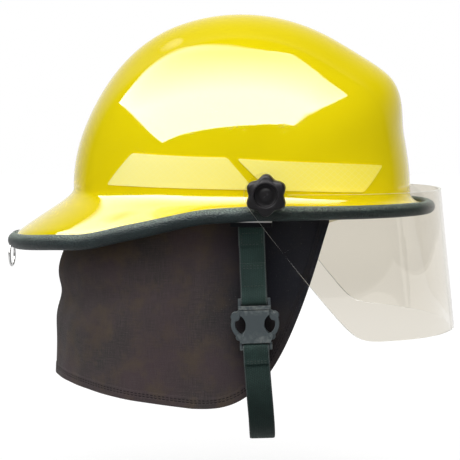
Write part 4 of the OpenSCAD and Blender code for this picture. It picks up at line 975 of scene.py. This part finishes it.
def make_curtain():
    """One cloth: two plies thick over the hem, with the folded edge's step and two rows of stitches along it. The
    hem's width is square to its edge: the height over the edge divided by sqrt(1 + slope^2)."""
    u, v = np.linspace(0, 1, 420), 1 - (1 - np.linspace(0, 1, 110)) ** 1.35
    mid = curtain_face(u[:, None], v[None], CURTAIN_IN + 1.0)
    down = np.linalg.norm(np.diff(mid, axis=1), axis=-1)
    depth = np.concatenate([np.zeros((len(u), 1)), np.cumsum(down, 1)], 1)
    along = lengths(mid[:, len(v) // 3])
    slope = np.gradient(mid[:, -1, 2], lengths(mid[:, -1] * np.array([1, 1, 0])))
    square = np.sqrt(1 + slope ** 2)[:, None]
    to_end = np.minimum(along, along[-1] - along)[:, None] * 1.02
    to_edge = np.minimum((depth[:, -1:] - depth) / square, to_end)
    normal = unit(np.cross(np.gradient(mid, axis=0), np.gradient(mid, axis=1)))
    outward = np.sign((normal * stack(mid[..., 0] - DOME_X, mid[..., 1], 0)).sum(-1, keepdims=True))
    normal = normal * np.where(outward == 0, 1, outward)
    half = 0.5 + 0.4 * (1 - smooth(HEM_UP - 0.3, HEM_UP + 0.3, to_edge))
    for seam in HEM_SEAMS:
        half = half - 0.3 * bell(to_edge, HEM_UP - seam, 0.45)
    half = np.maximum(half, 0.3)[..., None]
    piece = slab("curtain_cloth", mid + normal * half, mid - normal * half, stack(along[:, None], -depth) * MM, 60)
    dress(soften(piece, 0.25), "curtain", "ear_neck_curtain")

    lines = []
    keep = (depth[:, -1] > 30) & (square[:, 0] < 4)
    for seam in HEM_SEAMS:
        above = -(HEM_UP - seam) * square
        at, nor = (np.stack([interp(h[0], d - d[-1], column) for h, d, column in zip(above, depth, values)])[keep]
                   for values in (mid, normal))
        lines += [(at + nor * 0.62, nor), (at - nor * 0.62, -nor)]
    thread = dress(stitches("curtain_stitches", lines, 2.4, 0.38), None, material=THREAD)
    area = float(np.linalg.norm(np.cross(np.diff(mid, axis=0)[:, :-1], np.diff(mid, axis=1)[:-1]), axis=-1).sum())


# Chin strap

def lean_point(p):
    """A point of the strap's own frame, which leans forward from the anchor."""
    a = math.radians(-LEAN)
    x, y, z = np.moveaxis(np.asarray(p, float), -1, 0)
    z = z - ANCHOR_LOW
    return stack(STRAP_X + x * math.cos(a) + z * math.sin(a), y, ANCHOR_LOW - x * math.sin(a) + z * math.cos(a))


def swing(y, z):
    """How far the loop's left side hangs behind its right side, nothing at the anchors and all of it below, and how
    far its lowest part swings forward."""
    back = (y + STRAP_Y) * math.tan(math.radians(STRAP_TURN))
    return STRAP_FORWARD * smooth(100, 175, -z) - back * smooth(75, 150, -z)


def strap(name, pairs, count, width=WEB_W, thick=WEB_T, soft=2.2):
    """Webbing along a line across the helmet from (y, z) pairs in the strap's frame, its corners rounded by a running
    mean."""
    line = resample(np.array([[0.0, y, z] for y, z in pairs]), count)
    n = max(1, int(soft * (count - 1) / lengths(line)[-1]))
    padded = np.concatenate([2 * line[:1] - line[n:0:-1], line, 2 * line[-1:] - line[-2:-n - 2:-1]])
    kernel = np.hanning(2 * n + 3)[1:-1]
    line = np.stack([np.convolve(padded[:, i], kernel / kernel.sum(), "valid") for i in range(3)], -1)
    line[:, 0] = swing(line[:, 1], line[:, 2])
    across = lean_point([1.0, 0, ANCHOR_LOW]) - lean_point([0.0, 0, ANCHOR_LOW])
    return sweep(name, lean_point(line), across, web_outline(width, thick))


def round_bar(at, up, sewn):
    """(y, z) pairs from the sewn end on the outside, round the bar, to the strap itself."""
    a = np.radians(np.arange(0, 181, 15))
    out = -WEB_T - SEWN_GAP
    pairs = [(out, sewn), (out, 9), (out - 0.2, 7), (-BAR_TURN_R, 2.4)]
    pairs += list(zip(-BAR_TURN_R * np.cos(a), -BAR_TURN_R * np.sin(a))) + [(BAR_TURN_R, 2.4), (0.2, 7), (0, 9)]
    return [(p - STRAP_Y, BUCKLE_Z + at + up * q) for p, q in pairs]


def make_straps():
    """Upper: from its sewn end round the plug's bar and up to the anchor. Lower: round the socket's bar, down and
    under the chin along (cos^0.6, sin^0.9), and up through the slide to the left anchor."""
    y = -STRAP_Y
    upper = [strap("web_a", round_bar(PLUG_BAR, 1, 27) + [(y, ANCHOR_LOW), (y, LEG_TOP)], 190, soft=1.2),
             strap("web_b", [(y - 1.55, -23.5), (y - 1.6, -12.5), (y - 1.7, -10.2)], 24, WEB_W + 0.3, 1.3)]
    dress(join("strap_upper_web", upper), "webbing", "strap_upper")
    a = arc(3, 177, 117)
    loop = list(zip(y * signed_pow(np.cos(a), 0.6), BEND_Z + (STRAP_LOW_Z - BEND_Z) * np.abs(np.sin(a)) ** 0.9))
    line = round_bar(SOCKET_BAR, -1, 11.5) + [(y, BEND_Z)] + loop + [(-y, BEND_Z), (-y, ANCHOR_LOW), (-y, LEG_TOP)]
    lower = [strap("web_d", line, 620, soft=1.2),
             strap("web_f", [(-y + 1.6, -23.5), (-y + 1.7, -11.5)], 24, WEB_W + 0.3, 1.3),
             strap("web_g", [(-y + 1.6, -71.5), (-y + 1.65, -104), (-y + 1.3, -112)], 40, WEB_W - 0.1, 1.3)]
    dress(join("strap_main_web", lower), "webbing", "strap_main")

    def row(side, out, x0, z0, x1, z1):
        """A row of stitches on the strap's outer face."""
        z, across = np.linspace(z0, z1, 24), side * (STRAP_Y + out)
        line = lean_point(stack(np.linspace(x0, x1, 24) + swing(across, z), across, z))
        return line, np.broadcast_to(np.array([0.0, side, 0.0]), line.shape)

    rows = []
    half, low, high = 7.4, -22.2, -14.0
    for side in (-1, 1):
        rows += [row(side, 2.3, -half, z, half, z) for z in (low, high)]
        rows += [row(side, 2.3, x, low, x, high) for x in (-half, half)]
    top, low = BUCKLE_Z + PLUG_BAR, BUCKLE_Z + SOCKET_BAR
    rows += [row(-1, 2.6, -7.6, z, 7.6, z) for z in (top + 25.2, top + 23.4, top + 10.5, low - 9.2, low - 10.6)]
    dress(stitches("strap_stitches", rows, 1.9, 0.32), None, material=GREEN_THREAD)


for make in (make_shell, make_bead, make_panels, make_shield, make_knobs, make_hard, make_ring, make_liner, make_crown,
             make_pads, make_crown_pad, make_curtain, make_straps):
    make()


# Floor, light and camera

WHITE, FLOOR_Z, SOFTBOX_R, SOFTBOX_AT = (1, 1, 1), -0.27, 3000, (0, -60, 90)

# The softbox's outline: degrees round and above the horizon, and the width of its soft edge as a share of the way
# to the middle
SOFTBOX = ((-109.7, 31, 0), (-112.6, 34.6, 0.04), (-116, 38.2, 0.08), (-123.6, 41, 0.1), (-130, 43.2, 0.14),
           (-136, 44.7, 0.22), (-140.3, 46.7, 0.28), (-143.4, 49, 0.32), (-144.3, 53.3, 0.34), (-146.6, 57.6, 0.34),
           (-149, 62.7, 0.34), (-153.5, 67.6, 0.32), (-161.3, 71.9, 0.3), (-171.5, 75.3, 0.28), (173.5, 77.6, 0.22),
           (151.4, 77.5, 0.15), (137.8, 74.7, 0.12), (132.2, 69.2, 0.1), (129.5, 64.2, 0.08), (113, 61.1, 0.06),
           (105.6, 59.2, 0.05), (100.6, 58.2, 0.04), (96.5, 57.5, 0.02), (91, 52.4, 0), (67.5, 52, 0.02),
           (50, 48.9, 0.02), (35.2, 42.5, 0.02), (23.9, 33.7, 0), (18.2, 30.5, 0.01), (7.3, 28.9, 0.01),
           (-3.5, 27.6, 0.01), (-10.6, 26.7, 0.01), (-17.9, 25.8, 0.01), (-23.4, 24.9, 0.01), (-29.5, 23.8, 0.01),
           (-34.8, 22.1, 0.01), (-41, 19.8, 0), (-46.5, 22.1, 0.01), (-52.4, 24.6, 0.01), (-64.6, 28.9, 0.02),
           (-79.4, 32, 0.02), (-93.3, 32.6, 0.02))


def make_softbox(strong, weak):
    """An overhead softbox that only the gloss shows. It pales towards the back."""
    az, el, edge = np.array(SOFTBOX, float).T
    az, el = np.radians(az), np.radians(el)
    ring = stack(np.sin(az) * np.cos(el), -np.cos(az) * np.cos(el), np.sin(el))
    middle = unit(ring.mean(0) * np.array([0.4, 0.4, 1]))
    steps = np.array([0, 0.02, 0.04, 0.07, 0.1, 0.15, 0.2, 0.26, 0.33, 0.4, 0.5, 0.6, 0.7, 0.8, 0.9, 1])[:, None]
    sheet = unit(mix(ring, middle, steps[..., None])) * SOFTBOX_R + np.array(SOFTBOX_AT)
    obj = grid_object("softbox", sheet, uv=stack(steps, np.maximum(edge, 0.001)))
    mat = bpy.data.materials.new("softbox glow")
    mat.use_nodes = True
    mat.node_tree.nodes.clear()
    t = Net(mat.node_tree)
    _, y, z = t.axes(t.coordinates("Object"))
    inward, soft, _ = t.axes(t.coordinates("UV"))
    back = t.ramp(t.mul(y, 0.6, z), 1.4, 3.15, strong, weak)
    glow = t.node("Emission", {"Color": (1.0, 0.99, 0.96), "Strength": t.mul(back, t.ramp(inward, 0.0, soft))})
    t.node("OutputMaterial", {"Surface": glow.outputs[0]})
    obj.data.materials.append(mat)
    obj.visible_camera = obj.visible_shadow = obj.visible_diffuse = obj.visible_transmission = False


def make_floor():
    """A pale floor with a glow that only the camera, gloss and glass see, so that it is white and keeps shadows.
    Through glass it is a shade warmer and darker, as a pale card backdrop is."""
    corners = np.array([[-9, -2, FLOOR_Z], [9, -2, FLOOR_Z], [9, 9, FLOOR_Z], [-9, 9, FLOOR_Z]])
    floor = object_from("floor", corners / MM, [[0, 1, 2, 3]])
    t = Material("pale floor", Roughness=1.0, Base_Color=(0.32, 0.32, 0.32), Specular_IOR_Level=0.0)
    way = t.node("LightPath").outputs
    seen = t.math("MAXIMUM", way["Is Camera Ray"], t.math("MAXIMUM", way["Is Glossy Ray"], way["Is Transmission Ray"]))
    glow = t.ramp(t.vector_math("LENGTH", Vector=t.p).outputs["Value"], 0.5, 3.0, 0.74, 0.9)
    colour = t.blend(way["Is Transmission Ray"], WHITE, (0.65, 0.61, 0.53))
    light = t.node("Emission", {"Strength": t.mul(seen, glow), "Color": colour})
    t.surface("AddShader", {0: t.shader.outputs[0], 1: light.outputs[0]})
    floor.data.materials.append(t.made)


def make_world():
    """White to the camera, plain to what it lights, dark in the gloss but for the far side, and a shade warmer and
    darker through glass."""
    world = bpy.data.worlds.new("studio")
    bpy.context.scene.world = world
    world.use_nodes = True
    world.node_tree.nodes.clear()
    t = Net(world.node_tree)
    way = t.node("LightPath").outputs
    through = way["Is Transmission Ray"]
    inner = t.mul(through, t.math("MINIMUM", way["Glossy Depth"], 1.0))
    clear = t.math("MAXIMUM", way["Is Camera Ray"], t.math("SUBTRACT", through, inner))
    mirror = t.math("MAXIMUM", way["Is Glossy Ray"], inner)
    gloss = t.mul(mirror, t.ramp(t.axes(t.coordinates("Generated"))[1], 0.42, 0.9, 0.03, 1.0))
    plain = t.mul(t.math("SUBTRACT", 1.0, t.math("MAXIMUM", clear, mirror)), 0.5)
    back = t.node("Background", {"Color": t.blend(through, WHITE, (0.74, 0.71, 0.64)),
                                 "Strength": t.math("ADD", plain, t.math("ADD", clear, gloss))})
    t.node("OutputWorld", {"Surface": back.outputs[0]})


def aim(obj, at, target):
    """Stands an object at a point, facing another."""
    obj.location = at
    obj.rotation_euler = Vector(np.subtract(target, at)).to_track_quat("-Z", "Y").to_euler()


def make_camera(azimuth, elevation, distance, target, focal_pixels, picture_pixels):
    """The photo's camera: a pinhole, with its focal length in pixels of the picture."""
    data = bpy.data.cameras.new("camera")
    camera = in_scene("camera", data)
    az, el = math.radians(azimuth), math.radians(elevation)
    away = np.array([math.sin(az) * math.cos(el), -math.cos(az) * math.cos(el), math.sin(el)])
    aim(camera, np.array(target) + away * distance, target)
    data.sensor_width = 36.0
    data.lens = focal_pixels / picture_pixels * data.sensor_width
    data.clip_start, data.clip_end = 0.05, 40.0
    bpy.context.scene.camera = camera


make_floor()
make_world()
for name, at, target, size, power in (("key", (0.16, -1.1, 1.45), (0.0, 0, 0.02), 1.2, 21.5),
                                      ("fill", (-0.9, -1.0, 0.25), (0, 0, -0.05), 0.9, 3.0),
                                      ("back", (0.1, 1.3, 0.9), (0, 0, 0.05), 1.0, 5.0)):
    lamp = in_scene(name, bpy.data.lights.new(name, "AREA"))
    lamp.data.size, lamp.data.energy = size, power
    lamp.visible_glossy = False
    aim(lamp, at, target)
make_softbox(15.0, 4.5)
make_camera(4.0, 4.0, 1.17, (0.0072, 0.0, -0.020), 1462.0, 460.0)
bpy.context.scene.view_settings.view_transform = "Standard"
